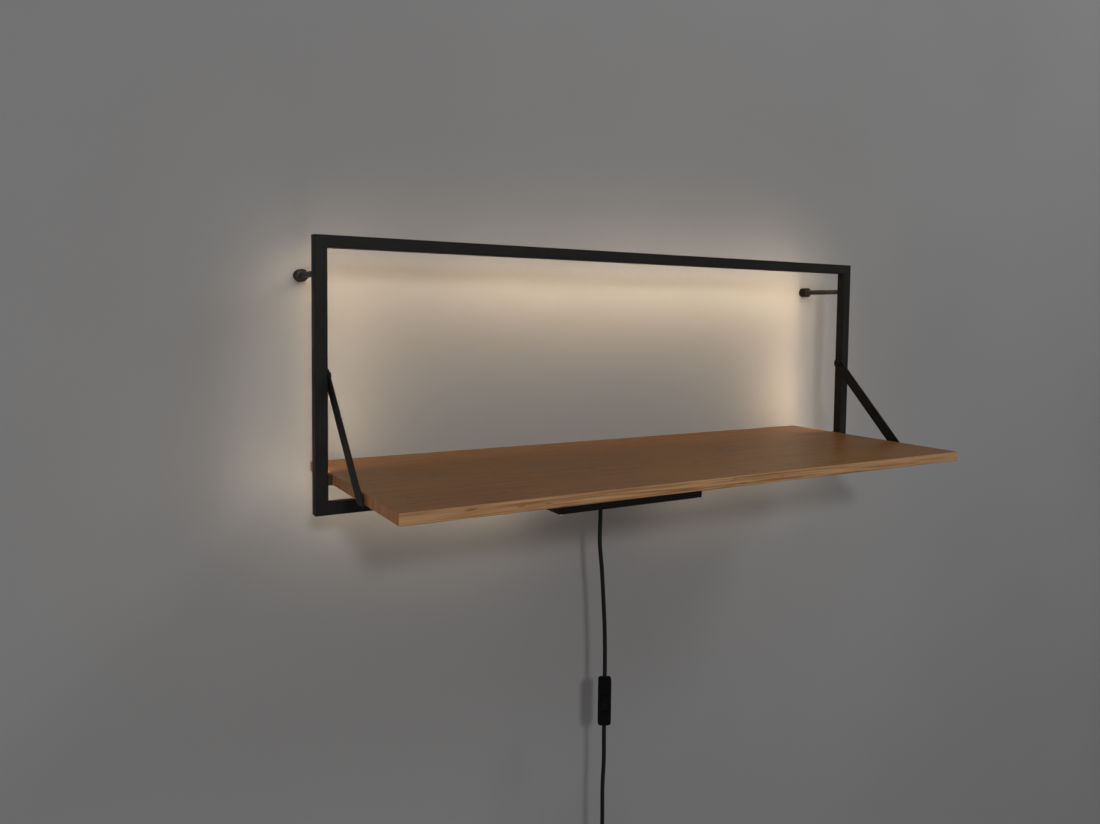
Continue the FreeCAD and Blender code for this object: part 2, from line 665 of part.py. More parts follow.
def make_struts():
    """Make the two flat bars and what fastens them."""
    bar = new_body("strut_bar")
    outline = new_sketch(bar, "YZ_Plane")
    draw_strut(outline)
    pad(bar, outline, "strut_thickness")

    def sink_edge(edge):
        is_round = edge.Curve.TypeId == "Part::GeomCircle"
        small = is_round and abs(edge.Curve.Radius - value_of("wood_screw / 2 + fit_gap")) < 1e-6
        return small and abs(edge.CenterOfMass.x) < 1e-6

    dress(bar, "Chamfer", "(wood_screw_head - wood_screw) / 2", sink_edge)
    place(bar, x=f"-{INSIDE_X}", y=DEEP, z=FRAME_MIDDLE,
          axis=(1, 0, 0), angle=f"atan2({STRUT_DROP}; strut_reach)")
    keep("left_strut", bar)
    keep("right_strut", mirrored(bar))

    bolt = screw("strut_bolt_blank", "strut_bolt", "strut_thickness + tube_wall + weld_nut_height",
                 "strut_bolt_head", "strut_bolt_head_height")

    def rim(edge):
        return abs(edge.CenterOfMass.z - size("strut_bolt_head_height")) < 1e-6

    dress(bolt, "Fillet", "strut_bolt_head_height * 0.75", rim)
    hex_recess(bolt, "strut_bolt * 0.66", "strut_bolt_head_height * 0.6", "strut_bolt_head_height")
    place(bolt, x=f"-{INSIDE_X} + strut_thickness", y=DEEP, z=FRAME_MIDDLE,
          axis=(0, 1, 0), angle="90")
    pair("strut_bolts", bolt)

    nut = ring("weld_nut_blank", "weld_nut", "strut_bolt + 2 * fit_gap", "weld_nut_height")
    place(nut, x=f"-{INSIDE_X} - tube_wall - weld_nut_height", y=DEEP, z=FRAME_MIDDLE)
    pair("strut_weld_nuts", nut)

    lower_y = f"{DEEP} - strut_reach"
    lower_screw = screw("lower_screw", "wood_screw", "shelf_end_gap + wood_screw_bite",
                        "wood_screw_head - 2 * fit_gap", "(wood_screw_head - wood_screw) / 2",
                        point="4", countersunk=True)
    place(lower_screw, x=f"-{INSIDE_X}", y=lower_y, z=SHELF_MIDDLE, axis=(0, 1, 0), angle="-90")
    pair("strut_shelf_screws", lower_screw)

    washer = ring("washer", "washer_diameter", "wood_screw + 2 * fit_gap",
                  "shelf_end_gap - strut_thickness")
    place(washer, x=f"-{INSIDE_X} + strut_thickness", y=lower_y, z=SHELF_MIDDLE)
    pair("strut_washers", washer)


# ---------------------------------------------------------------- driver housing

def make_housing():
    """Make the housing's shell and lid and the screws that hold them."""
    half_width = "housing_width / 2"
    half_depth = "housing_depth / 2"
    shell = new_body("housing_shell_box")
    plan = new_sketch(shell, "XY_Plane", "-housing_height")
    draw_rectangle(plan, f"-{half_width}", half_width, f"-{half_depth}", half_depth)
    pad(shell, plan, "housing_height")
    dress(shell, "Fillet", "housing_corner", lambda edge: along(edge, (0, 0, 1)))
    hollow = new_sketch(shell, "XY_Plane", "-housing_wall")
    draw_rectangle(hollow, f"-{half_width} + housing_wall", f"{half_width} - housing_wall",
                   f"-{half_depth} + housing_wall", f"{half_depth} - housing_wall")
    pocket(shell, hollow, "housing_height")
    posts = new_sketch(shell, "XY_Plane", "-housing_height + housing_wall")
    post_x = "(housing_width / 2 - post_inset)"
    post_y = "(housing_depth / 2 - post_inset)"
    corners = [(f"{a}{post_x}", f"{b}{post_y}") for a in ("", "-") for b in ("", "-")]
    for x, y in corners:
        draw_circle(posts, "post_diameter", x, y)
    pad(shell, posts, "housing_height - 2 * housing_wall")
    doc.recompute()
    pilots = new_sketch(shell, "XY_Plane", "-housing_height + housing_wall")
    for x, y in corners:
        draw_circle(pilots, "lid_screw + 2 * fit_gap", x, y)
    pocket(shell, pilots, "lid_screw_length", turned=True)
    roof = new_sketch(shell, "XY_Plane", "0")
    for x in (f"-{HOUSING_SCREW_X}", HOUSING_SCREW_X):
        draw_circle(roof, "housing_screw + 2 * fit_gap", x, "0")
    draw_circle(roof, "lead_diameter + 1.6", LEAD_X, "0")
    pocket(shell, roof, "housing_wall")
    place(shell, y=DEEP, z=FRAME_BOTTOM)
    keep("housing_shell", shell)

    lid = new_body("housing_lid_plate")
    plate = new_sketch(lid, "XY_Plane")
    draw_rectangle(plate, f"-{half_width} + housing_wall + fit_gap",
                   f"{half_width} - housing_wall - fit_gap",
                   f"-{half_depth} + housing_wall + fit_gap",
                   f"{half_depth} - housing_wall - fit_gap")
    draw_circle(plate, "relief_hole", CORD_X, "0")
    for x, y in corners:
        draw_circle(plate, "lid_screw + 2 * fit_gap", x, y)
    pad(lid, plate, "housing_wall")
    place(lid, y=DEEP, z=UNDERSIDE)
    keep("housing_lid", lid)

    lid_screw = screw("lid_screw_blank", "lid_screw", "housing_wall + lid_screw_length - 1",
                      "lid_screw_head", "1.6")
    place(lid_screw, x=f"-{post_x}", y=f"{DEEP} - {post_y}", z=UNDERSIDE,
          axis=(1, 0, 0), angle="180")
    across = mirrored(lid_screw)
    behind = mirrored(lid_screw, (0, 1, 0), DEEP)
    group("lid_screws", lid_screw, across, behind, mirrored(behind))

    fixing = screw("housing_screw_blank", "housing_screw",
                   "housing_wall + tube_wall + housing_nut_height + 1",
                   "housing_screw_head", "housing_screw_head_height")
    place(fixing, x=f"-{HOUSING_SCREW_X}", y=DEEP, z=HOUSING_ROOF,
          axis=(1, 0, 0), angle="180")
    pair("housing_screws", fixing)

    nut = new_body("housing_nut_blank")
    section = new_sketch(nut, "XY_Plane")
    corner = "housing_nut / sqrt(3)"
    half = "housing_nut / (2 * sqrt(3))"
    side = "housing_nut / 2"
    draw_polygon(section, (
        (corner, "0"), (half, side), (f"-{half}", side),
        (f"-{corner}", "0"), (f"-{half}", f"-{side}"), (half, f"-{side}"),
    ))
    draw_circle(section, "housing_screw + 2 * fit_gap")
    pad(nut, section, "housing_nut_height")
    place(nut, x=f"-{HOUSING_SCREW_X}", y=DEEP, z=f"{FRAME_BOTTOM} + tube_wall")
    pair("housing_nuts", nut)


def wire_solid(name, points, bend, diameter):
    """Make a wire or tube along points, its corners rounded to one radius."""
    edges = []
    start = points[0]
    for before, corner, after in zip(points, points[1:], points[2:]):
        inward = (before - corner).normalize()
        outward = (after - corner).normalize()
        half_turn = (math.pi - inward.getAngle(outward)) / 2
        trim = bend * math.tan(half_turn)
        enter = corner + inward * trim
        leave = corner + outward * trim
        edges.append(Part.LineSegment(start, enter).toShape())
        edges.append(tangent_arc(enter, corner, leave))
        start = leave
    edges.append(Part.LineSegment(start, points[-1]).toShape())
    return tube_solid(name, edges, diameter)


def tangent_arc(start, corner, end):
    """Make the arc that leaves start towards a corner and meets end coming from it."""
    middle = (start + end) * 0.5
    half_chord = (end - start).Length / 2
    rise = (corner - middle)
    half_turn = math.atan2(rise.Length, half_chord)
    sagitta = half_chord * math.tan(half_turn / 2)
    return Part.Arc(start, middle + rise.normalize() * sagitta, end).toShape()


def tube_solid(name, edges, diameter):
    """Sweep a round section along joined edges and compare the volume with length x section."""
    path = Part.Wire(edges)
    start = path.Edges[0].valueAt(path.Edges[0].FirstParameter)
    tangent = path.Edges[0].tangentAt(path.Edges[0].FirstParameter)
    section = Part.Wire(Part.Circle(start, tangent, diameter / 2).toShape())
    solid = path.makePipeShell([section], True, False)
    expected = path.Length * math.pi * diameter ** 2 / 4
    if abs(solid.Volume / expected - 1) > 0.01:
        raise RuntimeError(f"{name}: volume {solid.Volume:.1f}, expected {expected:.1f}")
    item = doc.addObject("Part::Feature", name)
    item.Shape = solid
    return item


def make_driver():
    """Make what the housing holds: driver, terminal block, wires, lead and grommet."""
    driver = new_body("driver_brick")
    plan = new_sketch(driver, "XY_Plane", "-driver_height")
    draw_rectangle(plan, DRIVER_START, DRIVER_END, "-driver_width / 2", "driver_width / 2")
    pad(driver, plan, "driver_height")
    dress(driver, "Fillet", "2", lambda edge: along(edge, (0, 0, 1)))
    place(driver, y=DEEP, z=HOUSING_ROOF)
    keep("led_driver", driver)

    block = new_body("terminal_body")
    plan = new_sketch(block, "XY_Plane", "-terminal_height")
    draw_rectangle(plan, "0", "terminal_length", "-terminal_width / 2", "terminal_width / 2")
    pad(block, plan, "terminal_height")
    wells = new_sketch(block, "XY_Plane", "-terminal_height")
    for share in ("-terminal_width / 4", "terminal_width / 4"):
        for x in ("terminal_length / 4", "terminal_length * 3 / 4"):
            draw_circle(wells, "3.6", x, share)
    pocket(block, wells, "terminal_height / 2", turned=True)
    place(block, x=TERMINAL_START, y=DEEP, z=HOUSING_ROOF)
    keep("terminal_block", block)

    half_wire = size("wire_diameter") / 2
    y_middle = value_of(DEEP)
    block_end = value_of(f"{TERMINAL_START} + terminal_length")
    wire_z = value_of(f"{HOUSING_ROOF} - terminal_height / 2")
    cord_x = value_of(CORD_X)
    sheath_end = value_of(f"{UNDERSIDE} + cord_inside")
    wires = []
    for number, sign in enumerate((-1, 1)):
        spread = sign * (half_wire + 0.2)
        wires.append(wire_solid(f"mains_wire_{number}", [
            Vector(cord_x, y_middle + spread, sheath_end),
            Vector(cord_x, y_middle + spread, wire_z),
            Vector(block_end, y_middle + spread, wire_z),
        ], 2.5, 2 * half_wire))
        spread = sign * (size("terminal_width") / 2 - half_wire)
        wires.append(wire_solid(f"driver_wire_{number}", [
            Vector(block_end, y_middle + spread, wire_z),
            Vector(value_of(DRIVER_START), y_middle + spread, wire_z),
        ], 2.5, 2 * half_wire))
    group("mains_wires", *wires)

    lead_x = value_of(LEAD_X)
    driver_end = value_of(DRIVER_END)
    lead_z = value_of(f"{HOUSING_ROOF} - driver_height / 2")
    rail_z = value_of(f"{FRAME_BOTTOM} + tube_side / 2")
    board_y = value_of(f"{WEB} + strip_board")
    keep("output_lead", wire_solid("output_lead", [
        Vector(driver_end, y_middle, lead_z),
        Vector(lead_x, y_middle, lead_z),
        Vector(lead_x, y_middle, rail_z),
        Vector(lead_x, board_y, rail_z),
    ], 2.6, size("lead_diameter")))

    grommet = new_body("grommet_ring")
    hole = "(lead_diameter / 2 + 0.8 - fit_gap / 2)"
    revolve(grommet, (
        ("lead_diameter / 2 + fit_gap", "-housing_wall - 1.2"),
        ("grommet_diameter / 2", "-housing_wall - 1.2"), ("grommet_diameter / 2", "-housing_wall"),
        (hole, "-housing_wall"), (hole, "tube_wall"), ("lead_diameter / 2 + fit_gap", "tube_wall"),
    ))
    place(grommet, x=LEAD_X, y=DEEP, z=FRAME_BOTTOM)
    keep("lead_grommet", grommet)


def make_strain_relief():
    """Make the bush that holds the cord in the lid, tapered inside and out."""
    bush = new_body("relief_bush")
    bore = "(cord_diameter / 2 + fit_gap)"
    neck = "(relief_hole / 2 - fit_gap)"
    revolve(bush, (
        (bore, "-relief_outside"), (f"{bore} + 0.4", "-relief_outside"), (f"{bore} + 1", "0"),
        (neck, "0"), (neck, "housing_wall"), ("relief_collar / 2", "housing_wall"),
        ("relief_collar / 2", "housing_wall + 2"), (f"{bore} + 1.9", "housing_wall + 2"),
        (f"{bore} + 0.9", "relief_inside"), (bore, "relief_inside"),
    ))
    place(bush, x=CORD_X, y=DEEP, z=UNDERSIDE)
    keep("cord_relief", bush)


# ---------------------------------------------------------------- cord

def cord_exit():
    """Return the middle of the cord's hole in the housing's underside."""
    return Vector(value_of(CORD_X), value_of(DEEP), value_of(UNDERSIDE))


def route_edges(points):
    """Make straight runs joined by tangent arcs, each as large as its two runs allow, and
    print the arcs' radii."""
    edges = []
    radii = []
    start = points[0]
    for before, corner, after in zip(points, points[1:], points[2:]):
        inward = before - corner
        outward = after - corner
        trim = 0.45 * min(inward.Length, outward.Length)
        half_turn = (math.pi - inward.getAngle(outward)) / 2
        radii.append(trim / math.tan(half_turn))
        enter = corner + inward.normalize() * trim
        leave = corner + outward.normalize() * trim
        edges.append(Part.LineSegment(start, enter).toShape())
        edges.append(tangent_arc(enter, corner, leave))
        start = leave
    edges.append(Part.LineSegment(start, points[-1]).toShape())
    return edges, radii


def make_free_cord():
    """Make the two hanging stretches of the cord and return the coil's first point."""
    for label, route in (("cord_upper", TO_SWITCH), ("cord_lower", TO_COIL)):
        points = [cord_exit() + Vector(*point) for point in route]
        edges, radii = route_edges(points)
        item = tube_solid(label, edges, size("cord_diameter"))
        keep(label, item)
        print(label, "radii", " ".join(f"{radius:.0f}" for radius in radii),
              "length", round(sum(edge.Length for edge in edges), 1))
    return points[-1]


def coil_point(angle, centre):
    """Return the coil's centre line after turning by an angle: it spirals in by one pitch a turn,
    climbs a layer in the half turn in the middle and spirals out again."""
    total = coil_total()
    pitch = size("coil_pitch")
    inward = min(angle, total - angle) / (2 * math.pi)
    radius = size("coil_radius") - pitch * inward
    climb = (angle - (total - math.pi) / 2) / math.pi
    layer = pitch * min(1.0, max(0.0, climb))
    bearing = math.radians(size("coil_entry_angle")) - angle
    offset = Vector(radius * math.cos(bearing), layer, radius * math.sin(bearing))
    return centre + offset


def coil_total():
    """Return the coil's whole turning angle, from where the cord joins to straight down."""
    return 2 * math.pi * size("coil_full_turns") + math.radians(size("coil_entry_angle"))


def coil_tangent(angle, centre, step=1e-4):
    """Return the direction of the coil's centre line."""
    total = coil_total()
    low = max(0.0, angle - step)
    high = min(total, angle + step)
    if low == 0.0 or high == total:
        bearing = math.radians(size("coil_entry_angle")) - angle
        return Vector(math.sin(bearing), 0, -math.cos(bearing))
    return (coil_point(high, centre) - coil_point(low, centre)).normalize()


def biarc(start, leaving, end, arriving):
    """Make two arcs that leave start and arrive at end in the given directions."""
    chord = end - start
    both = leaving + arriving
    spread = 2 * (1 - leaving.dot(arriving))
    reach = (-chord.dot(both) + math.sqrt(chord.dot(both) ** 2 + spread * chord.dot(chord))) / spread
    first_corner = start + leaving * reach
    second_corner = end - arriving * reach
    joint = (first_corner + second_corner) * 0.5
    return [tangent_arc(start, first_corner, joint), tangent_arc(joint, second_corner, end)]


def coil_centre(entry):
    """Return the coil's centre from the end of the cord that joins it."""
    bearing = math.radians(size("coil_entry_angle"))
    straight = Vector(math.sin(bearing), 0, -math.cos(bearing)) * size("cord_diameter")
    radial = Vector(math.cos(bearing), 0, math.sin(bearing)) * size("coil_radius")
    return entry + straight - radial


def make_coil(entry):
    """Make the put-away coil as one tube, its ends straight for one diameter, and return the
    point and the Y of its tail."""
    centre = coil_centre(entry)
    total = coil_total()
    middle = total / 2
    quarter = math.pi / 2
    count = int((middle - quarter) // quarter)
    inward = [index * (middle - quarter) / count for index in range(count + 1)]
    stops = inward + [middle] + [total - angle for angle in reversed(inward)]
    edges = [Part.LineSegment(entry, coil_point(0, centre)).toShape()]
    for before, after in zip(stops, stops[1:]):
        edges += biarc(coil_point(before, centre), coil_tangent(before, centre),
                       coil_point(after, centre), coil_tangent(after, centre))
    tail = coil_point(total, centre) - Vector(0, 0, size("cord_diameter"))
    edges.append(Part.LineSegment(coil_point(total, centre), tail).toShape())
    keep("cord_coil", tube_solid("cord_coil", edges, size("cord_diameter")))
    print("cord_coil least gap to itself", round(least_gap(edges), 2),
          "length", round(sum(edge.Length for edge in edges), 1))
    return centre, tail


def least_gap(edges):
    """Measure how near the coil's tube comes to itself, on points along its centre line."""
    points = []
    travelled = []
    distance = 0.0
    for edge in edges:
        for point in edge.discretize(Number=max(2, int(edge.Length / SEARCH_STEP))):
            points.append(point)
            travelled.append(distance + (point - edge.valueAt(edge.FirstParameter)).Length)
        distance += edge.Length
    apart = 5 * size("cord_diameter")
    nearest = min(
        (second - points[index]).Length
        for index in range(len(points))
        for other, second in enumerate(points[index + 1:], start=index + 1)
        if travelled[other] - travelled[index] > apart
    )
    gap = nearest - size("cord_diameter")
    if gap < LEAST_GAP:
        raise RuntimeError(f"the coil's turns are only {gap:.2f} mm apart")
    return gap


def make_tie(centre):
    """Make the strap round the coil's turns at the side away from the plug."""
    cord_radius = size("cord_diameter") / 2
    turns_inward = coil_total() / 2 / (2 * math.pi)
    inner_turn = size("coil_radius") - size("coil_pitch") * turns_inward
    slack = size("tie_clearance")
    half_width = size("tie_width") / 2
    inside_radius = inner_turn - cord_radius
    near = math.sqrt(inside_radius ** 2 - half_width ** 2) - slack
    far = size("coil_radius") + cord_radius + slack
    front = -cord_radius - slack
    back = size("coil_pitch") + cord_radius + slack
    thick = size("tie_thickness")
    opening = Part.makeBox(2 * half_width, back - front, far - near, Vector(-half_width, front, near))
    outer = Part.makeBox(2 * half_width, back - front + 2 * thick, far - near + 2 * thick,
                         Vector(-half_width, front - thick, near - thick))
    outer = outer.makeFillet(2.4, [edge for edge in outer.Edges if along(edge, (1, 0, 0))])
    opening = opening.makeFillet(1.2, [edge for edge in opening.Edges if along(edge, (1, 0, 0))])
    strap = doc.addObject("Part::Feature", "strap")
    strap.Shape = outer.cut(opening)
    strap.Placement = FreeCAD.Placement(centre, FreeCAD.Rotation(Vector(0, 1, 0), -120))
    keep("coil_tie", strap)


def make_plug(tail):
    """Make the plug under the coil's tail: relief, moulded body and two pins."""
    relief = size("plug_relief")
    length = size("plug_length")
    cord_radius = size("cord_diameter") / 2
    cone = Part.makeCone(5.4, cord_radius + 0.5, relief, Vector(0, 0, -relief))
    sections = []
    for level, width, thickness in (
        (-relief, 13.0, 11.0),
        (-relief - length * 0.45, size("plug_width") * 0.72, size("plug_thickness")),
        (-relief - length, size("plug_width"), size("plug_thickness")),
    ):
        half_width = width / 2
        half_thickness = thickness / 2
        bevel = half_thickness * 0.62
        outline = [
            (half_width, -half_thickness + bevel), (half_width, half_thickness - bevel),
            (half_width - bevel, half_thickness), (-half_width + bevel, half_thickness),
            (-half_width, half_thickness - bevel), (-half_width, -half_thickness + bevel),
            (-half_width + bevel, -half_thickness), (half_width - bevel, -half_thickness),
        ]
        corners = [Vector(y, x, level) for x, y in outline]
        sections.append(Part.makePolygon(corners + corners[:1]))
    body = Part.makeLoft(sections, True, True).fuse(cone)
    pin_radius = size("plug_pin") / 2
    pins = []
    for side in (-1, 1):
        seat = Vector(0, side * size("plug_pin_spacing") / 2, -relief - length)
        pin = Part.makeCylinder(pin_radius, size("plug_pin_length"), seat, Vector(0, 0, -1))
        tip = [edge for edge in pin.Edges
               if abs(edge.CenterOfMass.z - seat.z + size("plug_pin_length")) < 1e-6]
        pins.append(pin.makeFillet(pin_radius * 0.7, tip))
    for label, shape in (("plug_body", body), ("plug_pins", Part.makeCompound(pins))):
        item = doc.addObject("Part::Feature", label)
        item.Shape = shape
        item.Placement = FreeCAD.Placement(tail, FreeCAD.Rotation())
        keep(label, item)


# ---------------------------------------------------------------- switch

def switch_place(item, forward="0"):
    """Place a piece drawn about the switch's middle: the switch hangs on its cord's axis."""
    low = TO_COIL[0]
    high = TO_SWITCH[-1]
    middle_z = (low[2] + high[2]) / 2
    place(item, x=f"{CORD_X} + {high[0]}", y=f"{DEEP} + {high[1]}",
          z=f"{UNDERSIDE} + {middle_z}", axis=(0, 0, 1), angle="switch_turn")


def switch_shell(name, depth, towards_back):
    """Make one half of the switch's case, open at the middle plane."""
    body = new_body(name)
    half_width = "switch_width / 2"
    half_length = "switch_length / 2"
    outline = new_sketch(body)
    draw_rectangle(outline, f"-{half_width}", half_width, f"-{half_length}", half_length)
    pad(body, outline, depth, towards_back=towards_back)
    dress(body, "Fillet", "switch_corner", lambda edge: along(edge, (0, 1, 0)))
    face = size(depth) if towards_back else -size(depth)
    dress(body, "Fillet", "switch_round",
          lambda edge: abs(edge.CenterOfMass.y - face) < 1e-6 and abs(edge.BoundBox.YLength) < 1e-6)
    hollow = new_sketch(body)
    inner_length = "(switch_length / 2 - switch_entry)"
    draw_rectangle(hollow, f"-{half_width} + switch_wall", f"{half_width} - switch_wall",
                   f"-{inner_length}", inner_length)
    pocket(body, hollow, f"{depth} - switch_wall", turned=not towards_back)
    entry = new_sketch(body, "XY_Plane", half_length)
    draw_circle(entry, "cord_diameter + 2 * fit_gap")
    pocket(body, entry, "switch_entry")
    exit_hole = new_sketch(body, "XY_Plane", f"-{half_length}")
    draw_circle(exit_hole, "cord_diameter + 2 * fit_gap")
    pocket(body, exit_hole, "switch_entry", turned=True)
    return body


def add_posts(body, height, depth, towards_back):
    """Add the two posts that the case's screws hold on to, and drill them from the middle."""
    posts = new_sketch(body)
    for z in (POST_Z, f"-{POST_Z}"):
        draw_circle(posts, "2 * shell_screw + 1", "0", z)
    pad(body, posts, height, towards_back=towards_back)
    doc.recompute()
    holes = new_sketch(body)
    for z in (POST_Z, f"-{POST_Z}"):
        draw_circle(holes, "shell_screw + 2 * fit_gap", "0", z)
    pocket(body, holes, depth, turned=not towards_back)


def make_switch():
    """Make the switch on the cord: two shells, the rocker in its window, contacts and screws."""
    front = switch_shell("switch_front_half", "switch_front", False)
    window = new_sketch(front)
    draw_rectangle(window, "-rocker_width / 2 - rocker_gap", "rocker_width / 2 + rocker_gap",
                   "-rocker_length / 2 - rocker_gap", "rocker_length / 2 + rocker_gap")
    pocket(front, window, "switch_front", turned=True)
    lugs = new_sketch(front)
    lug_start = "(rocker_width / 2 + rocker_gap)"
    lug_end = "(switch_width / 2 - switch_wall)"
    for sign in ("", "-"):
        sides = (f"{sign}{lug_start}", f"{sign}{lug_end}")
        low, high = sides if sign == "" else sides[::-1]
        draw_rectangle(lugs, low, high, "-rocker_pin", "rocker_pin")
    pad(front, lugs, "switch_front - switch_wall / 2")
    doc.recompute()
    pin_hole = new_sketch(front, "YZ_Plane", f"-{lug_end}")
    draw_circle(pin_hole, "rocker_pin + 2 * pin_clearance", "-(switch_front - rocker_depth)", "0")
    pocket(front, pin_hole, f"2 * {lug_end}", turned=True)
    add_posts(front, "switch_front - switch_wall", "5.5", False)
    switch_place(front)
    keep("switch_front_shell", front)

    back = switch_shell("switch_back_half", "switch_back", True)
    add_posts(back, "switch_back - switch_wall", "switch_back", True)
    sinks = new_sketch(back, "XZ_Plane", "-switch_back")
    for z in (POST_Z, f"-{POST_Z}"):
        draw_circle(sinks, "shell_screw_head + 2 * fit_gap", "0", z)
    pocket(back, sinks, "shell_screw_sink", turned=True)
    switch_place(back)
    keep("switch_back_shell", back)

    make_rocker()
    make_contacts()

    shell_screw = screw("shell_screw", "shell_screw", "switch_back - shell_screw_sink + 5",
                        "shell_screw_head", "shell_screw_sink")
    turned = doc.addObject("Part::Feature", "shell_screws_at_rest")
    doc.recompute()
    seats = []
    for sign in (-1, 1):
        seat = Vector(0, value_of("switch_back - shell_screw_sink"), sign * value_of(POST_Z))
        copy = shell_screw.Shape.copy()
        copy.Placement = FreeCAD.Placement(seat, FreeCAD.Rotation(Vector(1, 0, 0), -90))
        seats.append(copy)
    turned.Shape = Part.makeCompound(seats)
    switch_place(turned)
    keep("switch_screws", turned)


def make_rocker():
    """Make the rocker about its pin: a shallow V on top and ends that follow the pin's circle."""
    rocker = new_body("rocker_body")
    profile = new_sketch(rocker, "YZ_Plane", "-rocker_width / 2")
    radius = value_of("rocker_length / 2")
    crest = value_of("rocker_depth + rocker_rise")
    foot = 1.6
    crest_reach = math.sqrt(radius ** 2 - crest ** 2)
    foot_reach = math.sqrt(radius ** 2 - foot ** 2)
    circle = Part.Circle(Vector(0, 0, 0), Vector(0, 0, 1), radius)
    crest_angle = math.atan2(crest, crest_reach)
    foot_angle = math.atan2(foot, foot_reach)
    # the sketch's own X is the lamp's Y, so the rocker's face looks along -X of the sketch
    upper = profile.addGeometry(Part.ArcOfCircle(
        circle, math.pi / 2 + foot_angle, math.pi / 2 + crest_angle))
    lower = profile.addGeometry(Part.ArcOfCircle(
        circle, 3 * math.pi / 2 - crest_angle, 3 * math.pi / 2 - foot_angle))
    corners = [Vector(-crest, crest_reach, 0), Vector(-size("rocker_depth"), 0, 0),
               Vector(-crest, -crest_reach, 0), Vector(-foot, -foot_reach, 0),
               Vector(-foot, foot_reach, 0)]
    top_slope = profile.addGeometry(Part.LineSegment(corners[0], corners[1]))
    low_slope = profile.addGeometry(Part.LineSegment(corners[1], corners[2]))
    base = profile.addGeometry(Part.LineSegment(corners[3], corners[4]))
    for first, first_end, second, second_end in (
        (upper, 2, top_slope, 1), (top_slope, 2, low_slope, 1), (low_slope, 2, lower, 1),
        (lower, 2, base, 1), (base, 2, upper, 1), (upper, 3, lower, 3),
    ):
        profile.addConstraint(
            Sketcher.Constraint("Coincident", first, first_end, second, second_end))
    hold_point(profile, upper, 3, "0", "0")
    profile.addConstraint(Sketcher.Constraint("Equal", upper, lower))
    index = profile.addConstraint(Sketcher.Constraint("Radius", upper, radius))
    profile.renameConstraint(index, "end_radius")
    profile.setExpression("Constraints.end_radius", formula("rocker_length / 2"))
    for name, edge, end, text in (
        ("upper_crest", upper, 2, "-(rocker_depth + rocker_rise)"),
        ("lower_crest", lower, 1, "-(rocker_depth + rocker_rise)"),
        ("upper_foot", upper, 1, f"-{foot}"),
        ("lower_foot", lower, 2, f"-{foot}"),
    ):
        index = profile.addConstraint(
            Sketcher.Constraint("DistanceX", -1, 1, edge, end, value_of(text)))
        profile.renameConstraint(index, name)
        profile.setExpression(f"Constraints.{name}", formula(text))
    hold_point(profile, top_slope, 2, "-rocker_depth", "0")
    pad(rocker, profile, "rocker_width")
    pin = new_sketch(rocker, "YZ_Plane", "-(switch_width / 2 - switch_wall - fit_gap)")
    draw_circle(pin, "rocker_pin")
    pad(rocker, pin, "2 * (switch_width / 2 - switch_wall - fit_gap)")
    web = new_sketch(rocker, "YZ_Plane", "-rocker_width / 2")
    draw_rectangle(web, f"-{foot}", "0", "-rocker_pin / 2", "rocker_pin / 2")
    pad(rocker, web, "rocker_width")
    doc.recompute()

    tilted = doc.addObject("Part::Feature", "rocker_at_rest")
    shape = rocker.Shape.copy()
    shape.Placement = FreeCAD.Placement(
        Vector(0, -value_of("switch_front - rocker_depth"), 0),
        FreeCAD.Rotation(Vector(1, 0, 0), size("rocker_tilt")))
    tilted.Shape = Part.makeCompound([shape])
    switch_place(tilted)
    keep("switch_rocker", tilted)


def make_contacts():
    """Make the two brass clips under the rocker."""
    clips = doc.addObject("Part::Feature", "clips")
    back = value_of("switch_back - switch_wall")
    shapes = []
    for sign in (-1, 1):
        plate = Part.makeBox(6, 1, 9, Vector(-3, back - 1, sign * 13 - 4.5))
        blade = Part.makeBox(6, 3.4, 1, Vector(-3, back - 4.4, sign * 13 - 0.5))
        shapes.append(plate.fuse(blade))
    clips.Shape = Part.makeCompound(shapes)
    switch_place(clips)
    keep("switch_contacts", clips)


# ---------------------------------------------------------------- build, test and write

def check(label, item):
    """Make sure that a sub-part is whole before it is written."""
    if item.Shape.isNull() or not item.Shape.isValid() or not item.Shape.Solids:
        raise RuntimeError(f"{label}: no valid solid")


def main():
    """Build every sub-part, test them and write one file for each."""
    make_frame()
    make_standoffs()
    make_lights()
    make_shelf()
    make_struts()
    make_housing()
    make_driver()
    make_strain_relief()
    entry = make_free_cord()
    centre, tail = make_coil(entry)
    make_tie(centre)
    make_plug(tail)
    make_switch()
    doc.recompute()

    for item in doc.Objects:
        if "Invalid" in item.State or "Error" in item.State:
            raise RuntimeError(f"{item.Name}: {item.State}")
    for label, item in sub_parts.items():
        check(label, item)

    os.makedirs("parts", exist_ok=True)
    for label, item in sub_parts.items():
        item.Shape.exportStep(f"parts/{label}.step")
    print(len(sub_parts), "sub-parts written")


main()
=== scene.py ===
"""Wall lamp with a shelf: finishes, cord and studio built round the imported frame.

Everything is in metres in the part's own frame: X runs along the wall, the wall is the plane Y = 0,
the room is at -Y and Z is up. The origin lies on the wall, midway between the two wall cups.
"""

import logging
import math
from dataclasses import dataclass, field
from enum import Enum
from typing import Callable, Iterable, Sequence

import bpy
from mathutils import Matrix, Vector

